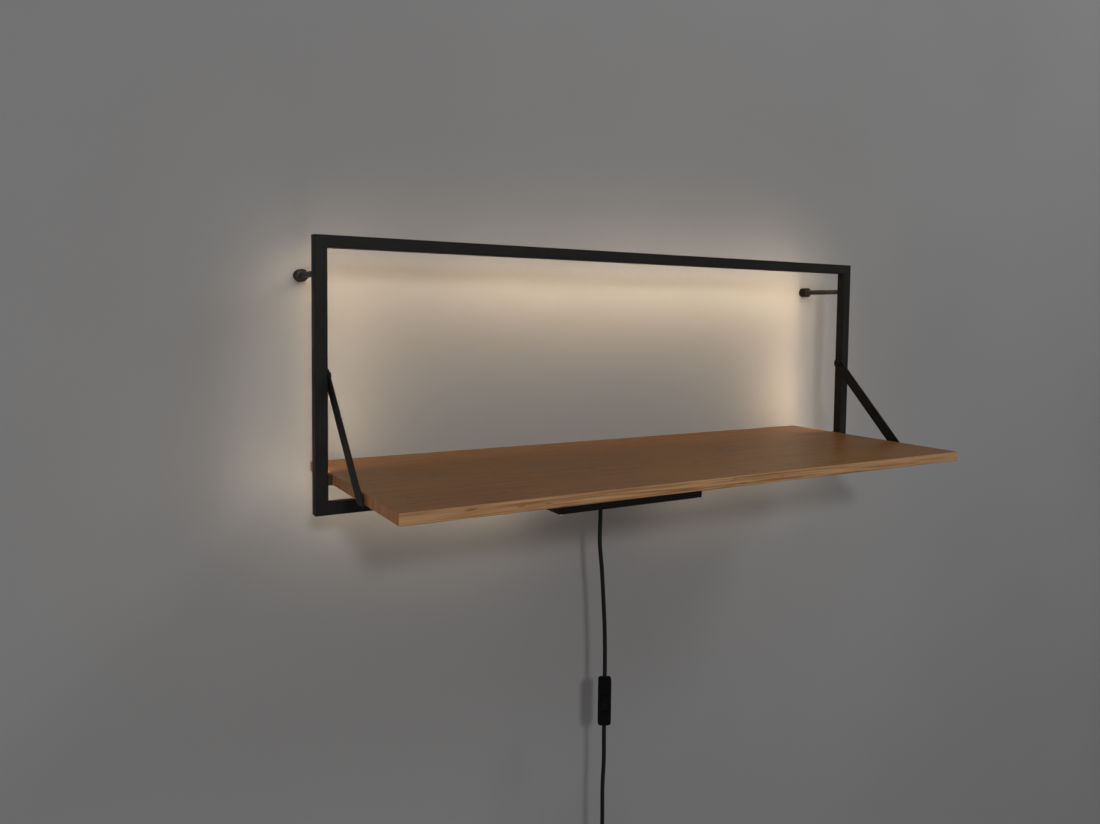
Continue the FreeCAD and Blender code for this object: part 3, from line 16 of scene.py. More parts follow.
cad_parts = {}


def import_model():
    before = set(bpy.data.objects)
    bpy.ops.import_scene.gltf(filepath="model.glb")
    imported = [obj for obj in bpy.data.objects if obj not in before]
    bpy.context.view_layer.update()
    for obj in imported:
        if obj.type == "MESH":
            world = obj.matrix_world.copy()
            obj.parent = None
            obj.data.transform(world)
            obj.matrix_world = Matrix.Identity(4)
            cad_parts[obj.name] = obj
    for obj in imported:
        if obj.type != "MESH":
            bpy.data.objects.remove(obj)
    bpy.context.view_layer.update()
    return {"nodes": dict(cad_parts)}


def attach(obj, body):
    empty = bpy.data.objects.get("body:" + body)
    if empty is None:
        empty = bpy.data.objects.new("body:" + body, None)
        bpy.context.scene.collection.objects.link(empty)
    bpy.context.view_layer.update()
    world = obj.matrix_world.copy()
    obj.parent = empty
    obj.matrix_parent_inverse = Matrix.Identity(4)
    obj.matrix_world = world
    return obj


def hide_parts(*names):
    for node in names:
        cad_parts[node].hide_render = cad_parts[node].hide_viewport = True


LOG = logging.getLogger("wall_lamp")
LAMP_BODY = "lamp"

Colour = tuple[float, float, float]
Point = tuple[float, float, float]
Source = object

OPAL_GLOW: Colour = (1.0, 0.82, 0.62)


class Sum(Enum):
    """Arithmetic that a finish uses on single numbers."""

    ADD = "ADD"
    SUBTRACT = "SUBTRACT"
    MULTIPLY = "MULTIPLY"
    DIVIDE = "DIVIDE"
    FLOOR = "FLOOR"
    FRACTION = "FRACT"
    ABSOLUTE = "ABSOLUTE"
    GREATER = "GREATER_THAN"
    LARGER = "MAXIMUM"


class CordEnd(Enum):
    """What a stretch of cord ends in."""

    SWITCH = "fitting"
    PLUG = "plug"


# ---------------------------------------------------------------- shader recipes


class Recipe:
    """One material's nodes, built a step at a time from the surface back to the coordinates."""

    def __init__(self, name: str) -> None:
        """Start a material with a principled surface.

        Args:
            name: the material's name.
        """
        self.material = bpy.data.materials.new(name)
        self.material.use_nodes = True
        self.tree = self.material.node_tree
        self.tree.nodes.clear()
        self.output = self.tree.nodes.new("ShaderNodeOutputMaterial")
        self.surface = self.tree.nodes.new("ShaderNodeBsdfPrincipled")
        self.tree.links.new(self.surface.outputs[0], self.output.inputs["Surface"])

    def put(self, socket: bpy.types.NodeSocket, value: Source) -> None:
        """Give a socket a number or colour, or join it to another node's output.

        Args:
            socket: the input that takes the value.
            value: a number, a tuple, or a node's output socket.
        """
        if isinstance(value, bpy.types.NodeSocket):
            self.tree.links.new(value, socket)
        elif isinstance(value, tuple) and len(socket.default_value) == 4:
            socket.default_value = (*value, 1.0)
        else:
            socket.default_value = value

    def set(self, **inputs: Source) -> None:
        """Set inputs of the principled surface, with _ for each space in a name.

        Args:
            inputs: the inputs' names and values.
        """
        for name, value in inputs.items():
            self.put(self.surface.inputs[name.replace("_", " ")], value)

    def place(self) -> bpy.types.NodeSocket:
        """Return the place on the piece, in metres in the part's frame."""
        return self.tree.nodes.new("ShaderNodeTexCoord").outputs["Object"]

    def facing(self) -> bpy.types.NodeSocket:
        """Return the direction that the surface itself faces."""
        return self.tree.nodes.new("ShaderNodeTexCoord").outputs["Normal"]

    def split(self, vector: Source) -> tuple[bpy.types.NodeSocket, ...]:
        """Return a vector's three parts.

        Args:
            vector: the vector's socket.

        Returns:
            The X, Y and Z sockets.
        """
        node = self.tree.nodes.new("ShaderNodeSeparateXYZ")
        self.put(node.inputs[0], vector)
        return tuple(node.outputs)

    def math(self, kind: Sum, first: Source, second: Source = 0.0) -> bpy.types.NodeSocket:
        """Return the result of one sum.

        Args:
            kind: which sum.
            first: the first number.
            second: the second number, where the sum has one.

        Returns:
            The result's socket.
        """
        node = self.tree.nodes.new("ShaderNodeMath")
        node.operation = kind.value
        self.put(node.inputs[0], first)
        self.put(node.inputs[1], second)
        return node.outputs[0]

    def stretch(self, vector: Source, scale: Point) -> bpy.types.NodeSocket:
        """Return a vector with each part multiplied, which sets a grain's length and width.

        Args:
            vector: the vector's socket.
            scale: the three multipliers.

        Returns:
            The scaled vector's socket.
        """
        node = self.tree.nodes.new("ShaderNodeMapping")
        self.put(node.inputs["Vector"], vector)
        node.inputs["Scale"].default_value = scale
        return node.outputs[0]

    def noise(self, vector: Source, scale: float, detail: float = 3.0,
              rough: float = 0.5) -> bpy.types.NodeSocket:
        """Return soft noise from 0 to 1.

        Args:
            vector: where the noise is read.
            scale: how many features there are in a unit.
            detail: how many finer layers it has.
            rough: how strong the finer layers are.

        Returns:
            The noise's socket.
        """
        node = self.tree.nodes.new("ShaderNodeTexNoise")
        self.put(node.inputs["Vector"], vector)
        node.inputs["Scale"].default_value = scale
        node.inputs["Detail"].default_value = detail
        node.inputs["Roughness"].default_value = rough
        return node.outputs["Fac"]

    def pebbles(self, vector: Source, scale: float) -> bpy.types.NodeSocket:
        """Return the distance to the nearest of many scattered points.

        Args:
            vector: where the pattern is read.
            scale: how many points there are in a unit.

        Returns:
            The distance's socket.
        """
        node = self.tree.nodes.new("ShaderNodeTexVoronoi")
        self.put(node.inputs["Vector"], vector)
        node.inputs["Scale"].default_value = scale
        return node.outputs["Distance"]

    def chance(self, number: Source) -> bpy.types.NodeSocket:
        """Return a steady random number from 0 to 1 for each whole number.

        Args:
            number: the whole number's socket.

        Returns:
            The random number's socket.
        """
        node = self.tree.nodes.new("ShaderNodeTexWhiteNoise")
        node.noise_dimensions = "1D"
        self.put(node.inputs["W"], number)
        return node.outputs["Value"]

    def remap(self, value: Source, low: float, high: float, to_low: float = 0.0,
              to_high: float = 1.0) -> bpy.types.NodeSocket:
        """Return a number moved from one range to another and held inside it.

        Args:
            value: the number's socket.
            low: the old range's start.
            high: the old range's end.
            to_low: the new range's start.
            to_high: the new range's end.

        Returns:
            The new number's socket.
        """
        node = self.tree.nodes.new("ShaderNodeMapRange")
        node.interpolation_type = "SMOOTHSTEP"
        for socket, number in zip(node.inputs[1:5], (low, high, to_low, to_high)):
            socket.default_value = number
        self.put(node.inputs[0], value)
        return node.outputs[0]

    def mix(self, share: Source, first: Source, second: Source) -> bpy.types.NodeSocket:
        """Return one colour laid over another.

        Args:
            share: how much of the second shows.
            first: the colour below.
            second: the colour above.

        Returns:
            The colour's socket.
        """
        node = self.tree.nodes.new("ShaderNodeMix")
        node.data_type = "RGBA"
        self.put(node.inputs["Factor"], share)
        colours = [socket for socket in node.inputs if socket.type == "RGBA"]
        self.put(colours[0], first)
        self.put(colours[1], second)
        return next(socket for socket in node.outputs if socket.type == "RGBA")

    def bump(self, height: Source, depth: float, strength: float) -> None:
        """Raise the surface by a pattern.

        Args:
            height: the pattern's socket.
            depth: its depth in metres.
            strength: how much of it shows.
        """
        node = self.tree.nodes.new("ShaderNodeBump")
        node.inputs["Distance"].default_value = depth
        node.inputs["Strength"].default_value = strength
        self.put(node.inputs["Height"], height)
        self.put(self.surface.inputs["Normal"], node.outputs[0])

    def axis_faces(self, part: Source, start: float = 0.55,
                   end: float = 0.85) -> bpy.types.NodeSocket:
        """Return 1 on faces that look along an axis, whichever way, and 0 on the others.

        Args:
            part: that axis's part of the facing direction.
            start: the least share that begins to count.
            end: the share that counts fully.

        Returns:
            The mask's socket.
        """
        return self.remap(self.math(Sum.ABSOLUTE, part), start, end)


@dataclass(frozen=True)
class PowderCoat:
    """Matt black powder coat over steel: a fine even orange-peel with a faint cloud in its tone."""

    name: str = "black_powder_coat"
    colour: Colour = (0.0042, 0.0036, 0.0030)
    light: Colour = (0.0072, 0.0066, 0.0060)
    roughness: float = 0.55
    grain: float = 1500.0
    depth: float = 0.00007

    def make(self) -> bpy.types.Material:
        """Return the finished material."""
        recipe = Recipe(self.name)
        place = recipe.place()
        fine = recipe.noise(place, self.grain, 2.0, 0.6)
        cloud = recipe.noise(place, 22.0, 3.0)
        speckle = recipe.remap(recipe.noise(place, self.grain * 1.7, 1.0), 0.55, 0.75)
        tone = recipe.mix(recipe.remap(cloud, 0.35, 0.7), self.colour, self.light)
        tone = recipe.mix(recipe.math(Sum.MULTIPLY, speckle, 0.35), tone, self.light)
        rough = recipe.remap(cloud, 0.3, 0.75, self.roughness - 0.05, self.roughness + 0.08)
        recipe.set(Base_Color=tone, Roughness=rough, Specular_IOR_Level=0.17)
        recipe.bump(fine, self.depth, 0.5)
        return recipe.material


@dataclass(frozen=True)
class Bamboo:
    """Caramel bamboo board under a satin lacquer: fine fibres along narrow strips, short dark
    dashes at the canes' knots, a lighter front edge with a painted highlight along its top,
    and the strips' ends at both sides."""

    name: str = "caramel_bamboo"
    strip: float = 0.0072
    knot_spacing: float = 0.24
    knot_length: float = 0.016
    dark: Colour = (0.098, 0.036, 0.0072)
    light: Colour = (0.212, 0.082, 0.0150)
    golden: Colour = (0.186, 0.083, 0.0140)
    edge_dark: Colour = (0.160, 0.074, 0.028)
    edge_light: Colour = (0.345, 0.195, 0.090)
    end_dark: Colour = (0.250, 0.095, 0.034)
    end_light: Colour = (0.470, 0.210, 0.080)
    seam: Colour = (0.055, 0.019, 0.007)
    # Colour of the painted highlight along the top of the board's front edge.
    painted_highlight: Colour = (0.46, 0.31, 0.18)
    fine_grain: tuple[float, float] = (14.0, 1100.0)
    broad_grain: tuple[float, float] = (4.5, 130.0)
    edge_grain: tuple[float, float] = (9.0, 420.0)
    cloud_scale: Point = (2.2, 7.0, 7.0)
    drift_scale: Point = (3.5, 3.5, 60.0)
    edge_knot_scale: Point = (38.0, 1.0, 210.0)
    pore_scale: float = 1500.0
    # Heights over which the painted highlight fades in, just below the board's top.
    painted_highlight_low: float = -0.2400
    painted_highlight_high: float = -0.2393

    def knots(self, recipe: Recipe, x: Source, across: Source, lot: Source) -> bpy.types.NodeSocket:
        """Return the mask of the knots along one strip: short, narrow and ragged.

        Args:
            recipe: the material being made.
            x: the place along the board.
            across: how far across its strip a place lies, from -0.5 to 0.5.
            lot: the strip's own random number.

        Returns:
            The mask's socket.
        """
        moved = recipe.math(Sum.ADD, recipe.math(Sum.DIVIDE, x, self.knot_spacing),
                            recipe.math(Sum.MULTIPLY, lot, 17.0))
        cane = recipe.chance(recipe.math(Sum.ADD, recipe.math(Sum.FLOOR, moved),
                                         recipe.math(Sum.MULTIPLY, lot, 91.0)))
        centred = recipe.math(Sum.SUBTRACT, recipe.math(Sum.FRACTION, moved), 0.5)
        shifted = recipe.math(Sum.ADD, centred, recipe.remap(cane, 0.0, 1.0, -0.4, 0.4))
        half = self.knot_length / self.knot_spacing / 2
        near = recipe.remap(recipe.math(Sum.ABSOLUTE, shifted), half * 0.2, half, 1.0, 0.0)
        narrow = recipe.remap(recipe.math(Sum.ABSOLUTE, across), 0.12, 0.42, 1.0, 0.0)
        chosen = recipe.remap(cane, 0.35, 0.6)
        return recipe.math(Sum.MULTIPLY, recipe.math(Sum.MULTIPLY, near, narrow), chosen)

    def strips(self, recipe: Recipe, across: Source) -> tuple[bpy.types.NodeSocket, ...]:
        """Return how far across its strip a place lies, the strip's number and the glue lines.

        Args:
            recipe: the material being made.
            across: the place across the strips.

        Returns:
            The three sockets.
        """
        turns = recipe.math(Sum.DIVIDE, across, self.strip)
        lot = recipe.chance(recipe.math(Sum.FLOOR, turns))
        centred = recipe.math(Sum.SUBTRACT, recipe.math(Sum.FRACTION, turns), 0.5)
        line = recipe.remap(recipe.math(Sum.ABSOLUTE, centred), 0.455, 0.495)
        return centred, lot, line

    def fibres(self, recipe: Recipe, place: Source, length: float,
               width: float) -> bpy.types.NodeSocket:
        """Return fibres that run along the board, as a number from 0 to 1.

        Args:
            recipe: the material being made.
            place: the place on the board.
            length: how many fibres there are in a metre along it.
            width: how many there are in a metre across it.

        Returns:
            The number's socket.
        """
        return recipe.noise(recipe.stretch(place, (length, width, width)), 1.0, 4.0, 0.6)

    def make(self) -> bpy.types.Material:
        """Return the finished material."""
        recipe = Recipe(self.name)
        place = recipe.place()
        x, y, z = recipe.split(place)
        face_x, face_y, _ = recipe.split(recipe.facing())
        centred, lot, line = self.strips(recipe, y)
        fine = self.fibres(recipe, place, *self.fine_grain)
        broad = self.fibres(recipe, place, *self.broad_grain)
        cloud = recipe.noise(recipe.stretch(place, self.cloud_scale), 1.0, 3.0)
        knot = self.knots(recipe, x, centred, lot)

        tone = recipe.math(Sum.ADD, recipe.math(Sum.MULTIPLY, lot, 0.35),
                           recipe.remap(broad, 0.3, 0.7, 0.0, 0.65))
        top = recipe.mix(tone, self.dark, self.light)
        top = recipe.mix(recipe.remap(cloud, 0.38, 0.66, 0.0, 0.7), top, self.golden)
        top = recipe.mix(recipe.remap(fine, 0.48, 0.76, 0.0, 0.65), top, self.dark)
        top = recipe.mix(recipe.math(Sum.MULTIPLY, knot, 0.75), top, self.seam)
        top = recipe.mix(recipe.math(Sum.MULTIPLY, line, 0.22), top, self.seam)

        layers = self.fibres(recipe, place, *self.edge_grain)
        drift = recipe.noise(recipe.stretch(place, self.drift_scale), 1.0, 3.0)
        edge = recipe.mix(recipe.remap(layers, 0.34, 0.66), self.edge_dark, self.edge_light)
        edge = recipe.mix(recipe.remap(drift, 0.4, 0.68, 0.0, 0.65), edge, self.edge_light)
        edge_knot = recipe.noise(recipe.stretch(place, self.edge_knot_scale), 1.0, 2.0)
        edge = recipe.mix(recipe.remap(edge_knot, 0.64, 0.74, 0.0, 0.6), edge, self.dark)
        # Painted highlight: the top millimetre of the front and back edges is lightened, as if the
        # bevel caught the light.
        painted_highlight = recipe.remap(z, self.painted_highlight_low, self.painted_highlight_high, 0.0, 0.5)
        edge = recipe.mix(painted_highlight, edge, self.painted_highlight)

        pores = recipe.pebbles(place, self.pore_scale)
        share = recipe.math(Sum.ADD, recipe.math(Sum.MULTIPLY, lot, 0.5),
                            recipe.remap(pores, 0.1, 0.6, 0.0, 0.5))
        end = recipe.mix(share, self.end_dark, self.end_light)
        end = recipe.mix(recipe.math(Sum.MULTIPLY, line, 0.75), end, self.seam)

        colour = recipe.mix(recipe.axis_faces(face_y), top, edge)
        colour = recipe.mix(recipe.axis_faces(face_x), colour, end)
        recipe.set(Base_Color=colour, Roughness=recipe.remap(fine, 0.3, 0.8, 0.42, 0.54))
        recipe.set(Specular_IOR_Level=0.2, Coat_Weight=0.06, Coat_Roughness=0.24)
        ridges = recipe.math(Sum.SUBTRACT, recipe.math(Sum.MULTIPLY, fine, 0.3),
                             recipe.math(Sum.LARGER, line, recipe.math(Sum.MULTIPLY, knot, 0.5)))
        recipe.bump(ridges, 0.00008, 0.4)
        return recipe.material


@dataclass(frozen=True)
class MouldedPlastic:
    """Moulded plastic with the fine even grain that a blasted mould leaves."""

    name: str
    colour: Colour
    shine: Colour
    roughness: float = 0.42
    gloss: float = 0.15
    grain: float = 2600.0
    depth: float = 0.00003

    def make(self) -> bpy.types.Material:
        """Return the finished material."""
        recipe = Recipe(self.name)
        place = recipe.place()
        fine = recipe.noise(place, self.grain, 2.0, 0.6)
        flow = recipe.noise(place, 60.0, 2.0)
        recipe.set(
            Base_Color=recipe.mix(recipe.remap(flow, 0.3, 0.75), self.colour, self.shine),
            Roughness=recipe.remap(flow, 0.3, 0.7, self.roughness - 0.04, self.roughness + 0.07),
            Specular_IOR_Level=self.gloss,
        )
        recipe.bump(fine, self.depth, 0.5)
        return recipe.material


@dataclass(frozen=True)
class CordSheath:
    """Extruded soft sheath: nearly smooth, with faint marks along it from the die."""

    name: str
    colour: Colour
    shine: Colour
    roughness: float = 0.38

    def make(self) -> bpy.types.Material:
        """Return the finished material."""
        recipe = Recipe(self.name)
        place = recipe.place()
        drawn = recipe.noise(recipe.stretch(place, (900.0, 900.0, 35.0)), 1.0, 2.0)
        scuff = recipe.noise(place, 180.0, 3.0, 0.6)
        recipe.set(
            Base_Color=recipe.mix(recipe.remap(scuff, 0.45, 0.75, 0.0, 0.8), self.colour,
                                  self.shine),
            Roughness=recipe.remap(scuff, 0.3, 0.7, self.roughness - 0.06, self.roughness + 0.1),
            Specular_IOR_Level=0.15,
        )
        recipe.bump(drawn, 0.00004, 0.45)
        return recipe.material


@dataclass(frozen=True)
class WirePair:
    """Two single wires side by side, one of each colour, told apart by their place."""

    name: str
    border: float
    near: Colour
    far: Colour
    grime: Colour = (0.02, 0.02, 0.02)

    def make(self) -> bpy.types.Material:
        """Return the finished material."""
        recipe = Recipe(self.name)
        place = recipe.place()
        _, y, _ = recipe.split(place)
        side = recipe.math(Sum.GREATER, y, self.border)
        scuff = recipe.noise(place, 400.0, 3.0)
        colour = recipe.mix(side, self.near, self.far)
        shaded = recipe.mix(recipe.remap(scuff, 0.3, 0.8, 0.0, 0.25), colour, self.grime)
        recipe.set(Base_Color=shaded, Roughness=recipe.remap(scuff, 0.3, 0.7, 0.34, 0.46))
        recipe.bump(scuff, 0.00003, 0.4)
        return recipe.material


@dataclass(frozen=True)
class Metal:
    """Plated or bare metal with fine marks from its making."""

    name: str
    colour: Colour
    worn: Colour
    roughness: float
    marks: Point = (900.0, 900.0, 900.0)

    def make(self) -> bpy.types.Material:
        """Return the finished material."""
        recipe = Recipe(self.name)
        place = recipe.place()
        marks = recipe.noise(recipe.stretch(place, self.marks), 1.0, 3.0, 0.65)
        patina = recipe.noise(place, 240.0, 3.0)
        recipe.set(
            Base_Color=recipe.mix(recipe.remap(patina, 0.35, 0.75), self.colour, self.worn),
            Roughness=recipe.remap(marks, 0.3, 0.7, self.roughness - 0.08, self.roughness + 0.12),
        )
        recipe.set(Metallic=1.0)
        recipe.bump(marks, 0.00002, 0.5)
        return recipe.material


ZINC_PLATE = Metal("zinc_plate", (0.56, 0.56, 0.55), (0.42, 0.43, 0.44), 0.36)


@dataclass(frozen=True)
class Glow:
    """One stretch of a light channel: its middle and half length along an axis, in metres, and
    its share of the channel's full brightness."""

    middle: float
    reach: float
    share: float


@dataclass(frozen=True)
class OpalSheet:
    """Opal diffusing sheet lit from behind by its strip, brighter along some stretches."""

    name: str
    along: int
    strength: float
    stretches: tuple[Glow, ...]
    warm: Colour = OPAL_GLOW
    sheet: Colour = (0.86, 0.84, 0.78)
    frosting: Colour = (1.0, 1.0, 1.0)

    def make(self) -> bpy.types.Material:
        """Return the finished material."""
        recipe = Recipe(self.name)
        place = recipe.place()
        run = recipe.split(place)[self.along]
        total: Source = 0.0
        for stretch in self.stretches:
            away = recipe.math(Sum.ABSOLUTE, recipe.math(Sum.SUBTRACT, run, stretch.middle))
            level = recipe.remap(away, 0.0, stretch.reach, stretch.share, 0.0)
            total = recipe.math(Sum.ADD, total, level)
        frost = recipe.noise(place, 900.0, 2.0)
        recipe.set(
            Base_Color=recipe.mix(recipe.remap(frost, 0.3, 0.7, 0.0, 0.2), self.sheet,
                                  self.frosting),
            Roughness=recipe.remap(frost, 0.3, 0.7, 0.5, 0.62),
            Emission_Color=recipe.mix(total, (0.0, 0.0, 0.0), self.warm),
            Emission_Strength=self.strength,
        )
        recipe.bump(frost, 0.00002, 0.3)
        return recipe.material


@dataclass(frozen=True)
class StripBoard:
    """Light strip: a white lacquered board that carries yellow phosphor chips."""

    name: str = "light_strip_board"
    board_front: float = -0.10409
    white: Colour = (0.80, 0.79, 0.75)
    phosphor: Colour = (0.85, 0.62, 0.16)
    dust: Colour = (0.4, 0.38, 0.3)

    def make(self) -> bpy.types.Material:
        """Return the finished material."""
        recipe = Recipe(self.name)
        place = recipe.place()
        _, y, _ = recipe.split(place)
        chip = recipe.math(Sum.GREATER, y, self.board_front)
        grain = recipe.noise(place, 1200.0, 2.0)
        colour = recipe.mix(chip, self.white, self.phosphor)
        recipe.set(
            Base_Color=recipe.mix(recipe.remap(grain, 0.4, 0.8, 0.0, 0.18), colour, self.dust),
            Roughness=recipe.remap(grain, 0.3, 0.7, 0.35, 0.55),
        )
        recipe.bump(grain, 0.00002, 0.4)
        return recipe.material


@dataclass(frozen=True)
class HookStrap:
    """Woven strap with a short napped pile, for the tie round the coil."""

    name: str = "coil_strap"
    colour: Colour = (0.008, 0.008, 0.0085)
    thread: Colour = (0.024, 0.024, 0.026)

    def make(self) -> bpy.types.Material:
        """Return the finished material."""
        recipe = Recipe(self.name)
        place = recipe.place()
        loops = recipe.pebbles(place, 2200.0)
        weave = recipe.noise(recipe.stretch(place, (1800.0, 700.0, 1800.0)), 1.0, 2.0)
        recipe.set(
            Base_Color=recipe.mix(recipe.remap(weave, 0.4, 0.7), self.colour, self.thread),
            Roughness=recipe.remap(loops, 0.1, 0.6, 0.75, 0.95),
        )
        recipe.set(Sheen_Weight=0.3)
        recipe.bump(loops, 0.0002, 0.7)
        return recipe.material


@dataclass(frozen=True)
class WallPaint:
    """Grey emulsion on plaster, seen from the room only."""

    name: str = "grey_wall"
    colour: Colour = (0.213, 0.210, 0.209)
    cloud: Colour = (0.226, 0.223, 0.222)

    def make(self) -> bpy.types.Material:
        """Return the finished material."""
        recipe = Recipe(self.name)
        place = recipe.place()
        cloud = recipe.noise(place, 1.3, 3.0)
        roller = recipe.noise(place, 420.0, 3.0)
        recipe.set(
            Base_Color=recipe.mix(recipe.remap(cloud, 0.35, 0.65), self.colour, self.cloud),
            Roughness=recipe.remap(roller, 0.3, 0.7, 0.85, 0.95),
        )
        recipe.set(Specular_IOR_Level=0.15)
        recipe.bump(roller, 0.0001, 0.15)
        nodes, links = recipe.tree.nodes, recipe.tree.links
        through = nodes.new("ShaderNodeBsdfTransparent")
        sides = nodes.new("ShaderNodeMixShader")
        links.new(nodes.new("ShaderNodeNewGeometry").outputs["Backfacing"], sides.inputs[0])
        links.new(recipe.surface.outputs[0], sides.inputs[1])
        links.new(through.outputs[0], sides.inputs[2])
        links.new(sides.outputs[0], recipe.output.inputs["Surface"])
        return recipe.material


@dataclass(frozen=True)
class FloorPaint:
    """Plain pale studio floor."""

    name: str = "pale_floor"
    colour: Colour = (0.52, 0.52, 0.53)
    cloud: Colour = (0.56, 0.56, 0.57)

    def make(self) -> bpy.types.Material:
        """Return the finished material."""
        recipe = Recipe(self.name)
        cloud = recipe.noise(recipe.place(), 2.0, 2.0)
        recipe.set(
            Base_Color=recipe.mix(recipe.remap(cloud, 0.3, 0.7), self.colour, self.cloud),
            Roughness=recipe.remap(cloud, 0.3, 0.7, 0.75, 0.85),
        )
        return recipe.material


# ---------------------------------------------------------------- shared workshop


@dataclass
class Dresser:
    """Gives finishes to the carried-over pieces and to new ones."""

    nodes: dict[str, bpy.types.Object]
    made: dict[str, bpy.types.Material] = field(default_factory=dict)

    def material(self, finish: object) -> bpy.types.Material:
        """Return a finish's material, made once.

        Args:
            finish: one of the finishes above.

        Returns:
            The material.
        """
        if finish.name not in self.made:
            self.made[finish.name] = finish.make()
        return self.made[finish.name]

    def carried(self, finish: object, names: Iterable[str]) -> None:
        """Give one finish to carried-over pieces.

        Args:
            finish: the finish.
            names: the pieces' node names.
        """
        material = self.material(finish)
        for name in names:
            for slot in self.nodes[name].material_slots:
                slot.material = material
            LOG.info("%s: %s", name, finish.name)

    def new_piece(self, piece: bpy.types.Object, finish: object, slot: str,
                  body: str = LAMP_BODY) -> None:
        """Finish a new piece, and make it ride on a body.

        Args:
            piece: the new object.
            finish: its finish.
            slot: not used.
            body: the body that carries it.
        """
        piece.data.materials.clear()
        piece.data.materials.append(self.material(finish))
        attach(piece, body)
        LOG.info("%s: %s", piece.name, finish.name)


def add_sheet(name: str, corners: Sequence[Point]) -> bpy.types.Object:
    """Make a flat four-cornered object.

    Args:
        name: the object's name.
        corners: its four corners in order, in metres.

    Returns:
        The new object.
    """
    mesh = bpy.data.meshes.new(name)
    mesh.from_pydata(corners, [], [(0, 1, 2, 3)])
    mesh.update()
    piece = bpy.data.objects.new(name, mesh)
    bpy.context.scene.collection.objects.link(piece)
    return piece


# ---------------------------------------------------------------- camera and studio


@dataclass(frozen=True)
class PhotoCamera:
    """The photograph's viewpoint, as a plain lens with a small shift."""

    frame_width: float = 1100.0
    frame_height: float = 824.0
    focal_pixels: float = 888.06
    centre_x: float = 610.09
    centre_y: float = 364.84
    yaw: float = 0.5637
    pitch: float = 0.0574
    roll: float = 0.0145
    place: Point = (-0.7078, -1.1692, -0.0429)
    sensor: float = 36.0

    def build(self) -> None:
        """Make the camera and look through it."""
        forward = Vector((math.sin(self.yaw) * math.cos(self.pitch),
                          math.cos(self.yaw) * math.cos(self.pitch), -math.sin(self.pitch)))
        level = Vector((math.cos(self.yaw), -math.sin(self.yaw), 0.0))
        upright = level.cross(forward)
        right = level * math.cos(self.roll) + upright * math.sin(self.roll)
        up = upright * math.cos(self.roll) - level * math.sin(self.roll)
        turn = Matrix((right, up, -forward)).transposed().to_4x4()
        data = bpy.data.cameras.new("photo_camera")
        data.sensor_fit = "HORIZONTAL"
        data.sensor_width = self.sensor
        data.lens = self.focal_pixels / self.frame_width * self.sensor
        data.shift_x = (self.frame_width / 2 - self.centre_x) / self.frame_width
        data.shift_y = (self.centre_y - self.frame_height / 2) / self.frame_width
        data.clip_start = 0.01
        camera = bpy.data.objects.new("photo_camera", data)
        camera.matrix_world = Matrix.Translation(self.place) @ turn
        bpy.context.scene.collection.objects.link(camera)
        bpy.context.scene.camera = camera
        LOG.info("camera: %.1f mm lens", data.lens)


@dataclass(frozen=True)
class SoftLamp:
    """One round studio lamp, aimed at a point."""

    name: str
    place: Point
    aim: Point
    diameter: float
    power: float
    colour: Colour = (1.0, 1.0, 1.0)

    def build(self) -> None:
        """Make the lamp."""
        data = bpy.data.lights.new(self.name, "AREA")
        data.shape = "DISK"
        data.size = self.diameter
        data.energy = self.power
        data.color = self.colour
        lamp = bpy.data.objects.new(self.name, data)
        away = Vector(self.place) - Vector(self.aim)
        turn = away.to_track_quat("Z", "Y").to_matrix().to_4x4()
        lamp.matrix_world = Matrix.Translation(self.place) @ turn
        bpy.context.scene.collection.objects.link(lamp)


@dataclass
class Studio:
    """Grey wall, pale floor, soft lamps and an even surround."""

    dresser: Dresser
    wall_gap: float = 0.0004
    wall_half: float = 3.2
    wall_height: float = 2.4
    floor_level: float = -1.5
    floor_depth: float = 4.5
    surround: float = 0.34
    lamps: tuple[SoftLamp, ...] = (
        SoftLamp("front_lamp", (-1.12, -3.60, 1.08), (0.0, 0.0, -0.25), 0.36, 50.0),
        SoftLamp("right_lamp", (1.75, -1.85, 1.75), (0.1, 0.0, -0.25), 0.9, 21.0),
    )

    def build(self) -> None:
        """Make the whole studio."""
        self.wall()
        self.floor()
        self.surround_light()
        for lamp in self.lamps:
            lamp.build()
            LOG.info("%s: %.0f W", lamp.name, lamp.power)
        bpy.context.scene.view_settings.view_transform = "Standard"

    def wall(self) -> None:
        """Make the wall that the lamp hangs on, facing the room."""
        half, low, high, y = self.wall_half, self.floor_level, self.wall_height, self.wall_gap
        corners = ((-half, y, low), (half, y, low), (half, y, high), (-half, y, high))
        piece = add_sheet("studio_wall", corners)
        piece.data.materials.append(self.dresser.material(WallPaint()))

    def floor(self) -> None:
        """Make the floor below."""
        half, level = self.wall_half, self.floor_level
        corners = ((-half, -self.floor_depth, level), (half, -self.floor_depth, level),
                   (half, self.wall_half, level), (-half, self.wall_half, level))
        piece = add_sheet("studio_floor", corners)
        piece.data.materials.append(self.dresser.material(FloorPaint()))

    def surround_light(self) -> None:
        """Give the world an even pale light."""
        world = bpy.data.worlds.new("studio_surround")
        world.use_nodes = True
        background = world.node_tree.nodes["Background"]
        background.inputs["Color"].default_value = (1.0, 1.0, 1.0, 1.0)
        background.inputs["Strength"].default_value = self.surround
        bpy.context.scene.world = world


# ---------------------------------------------------------------- cord


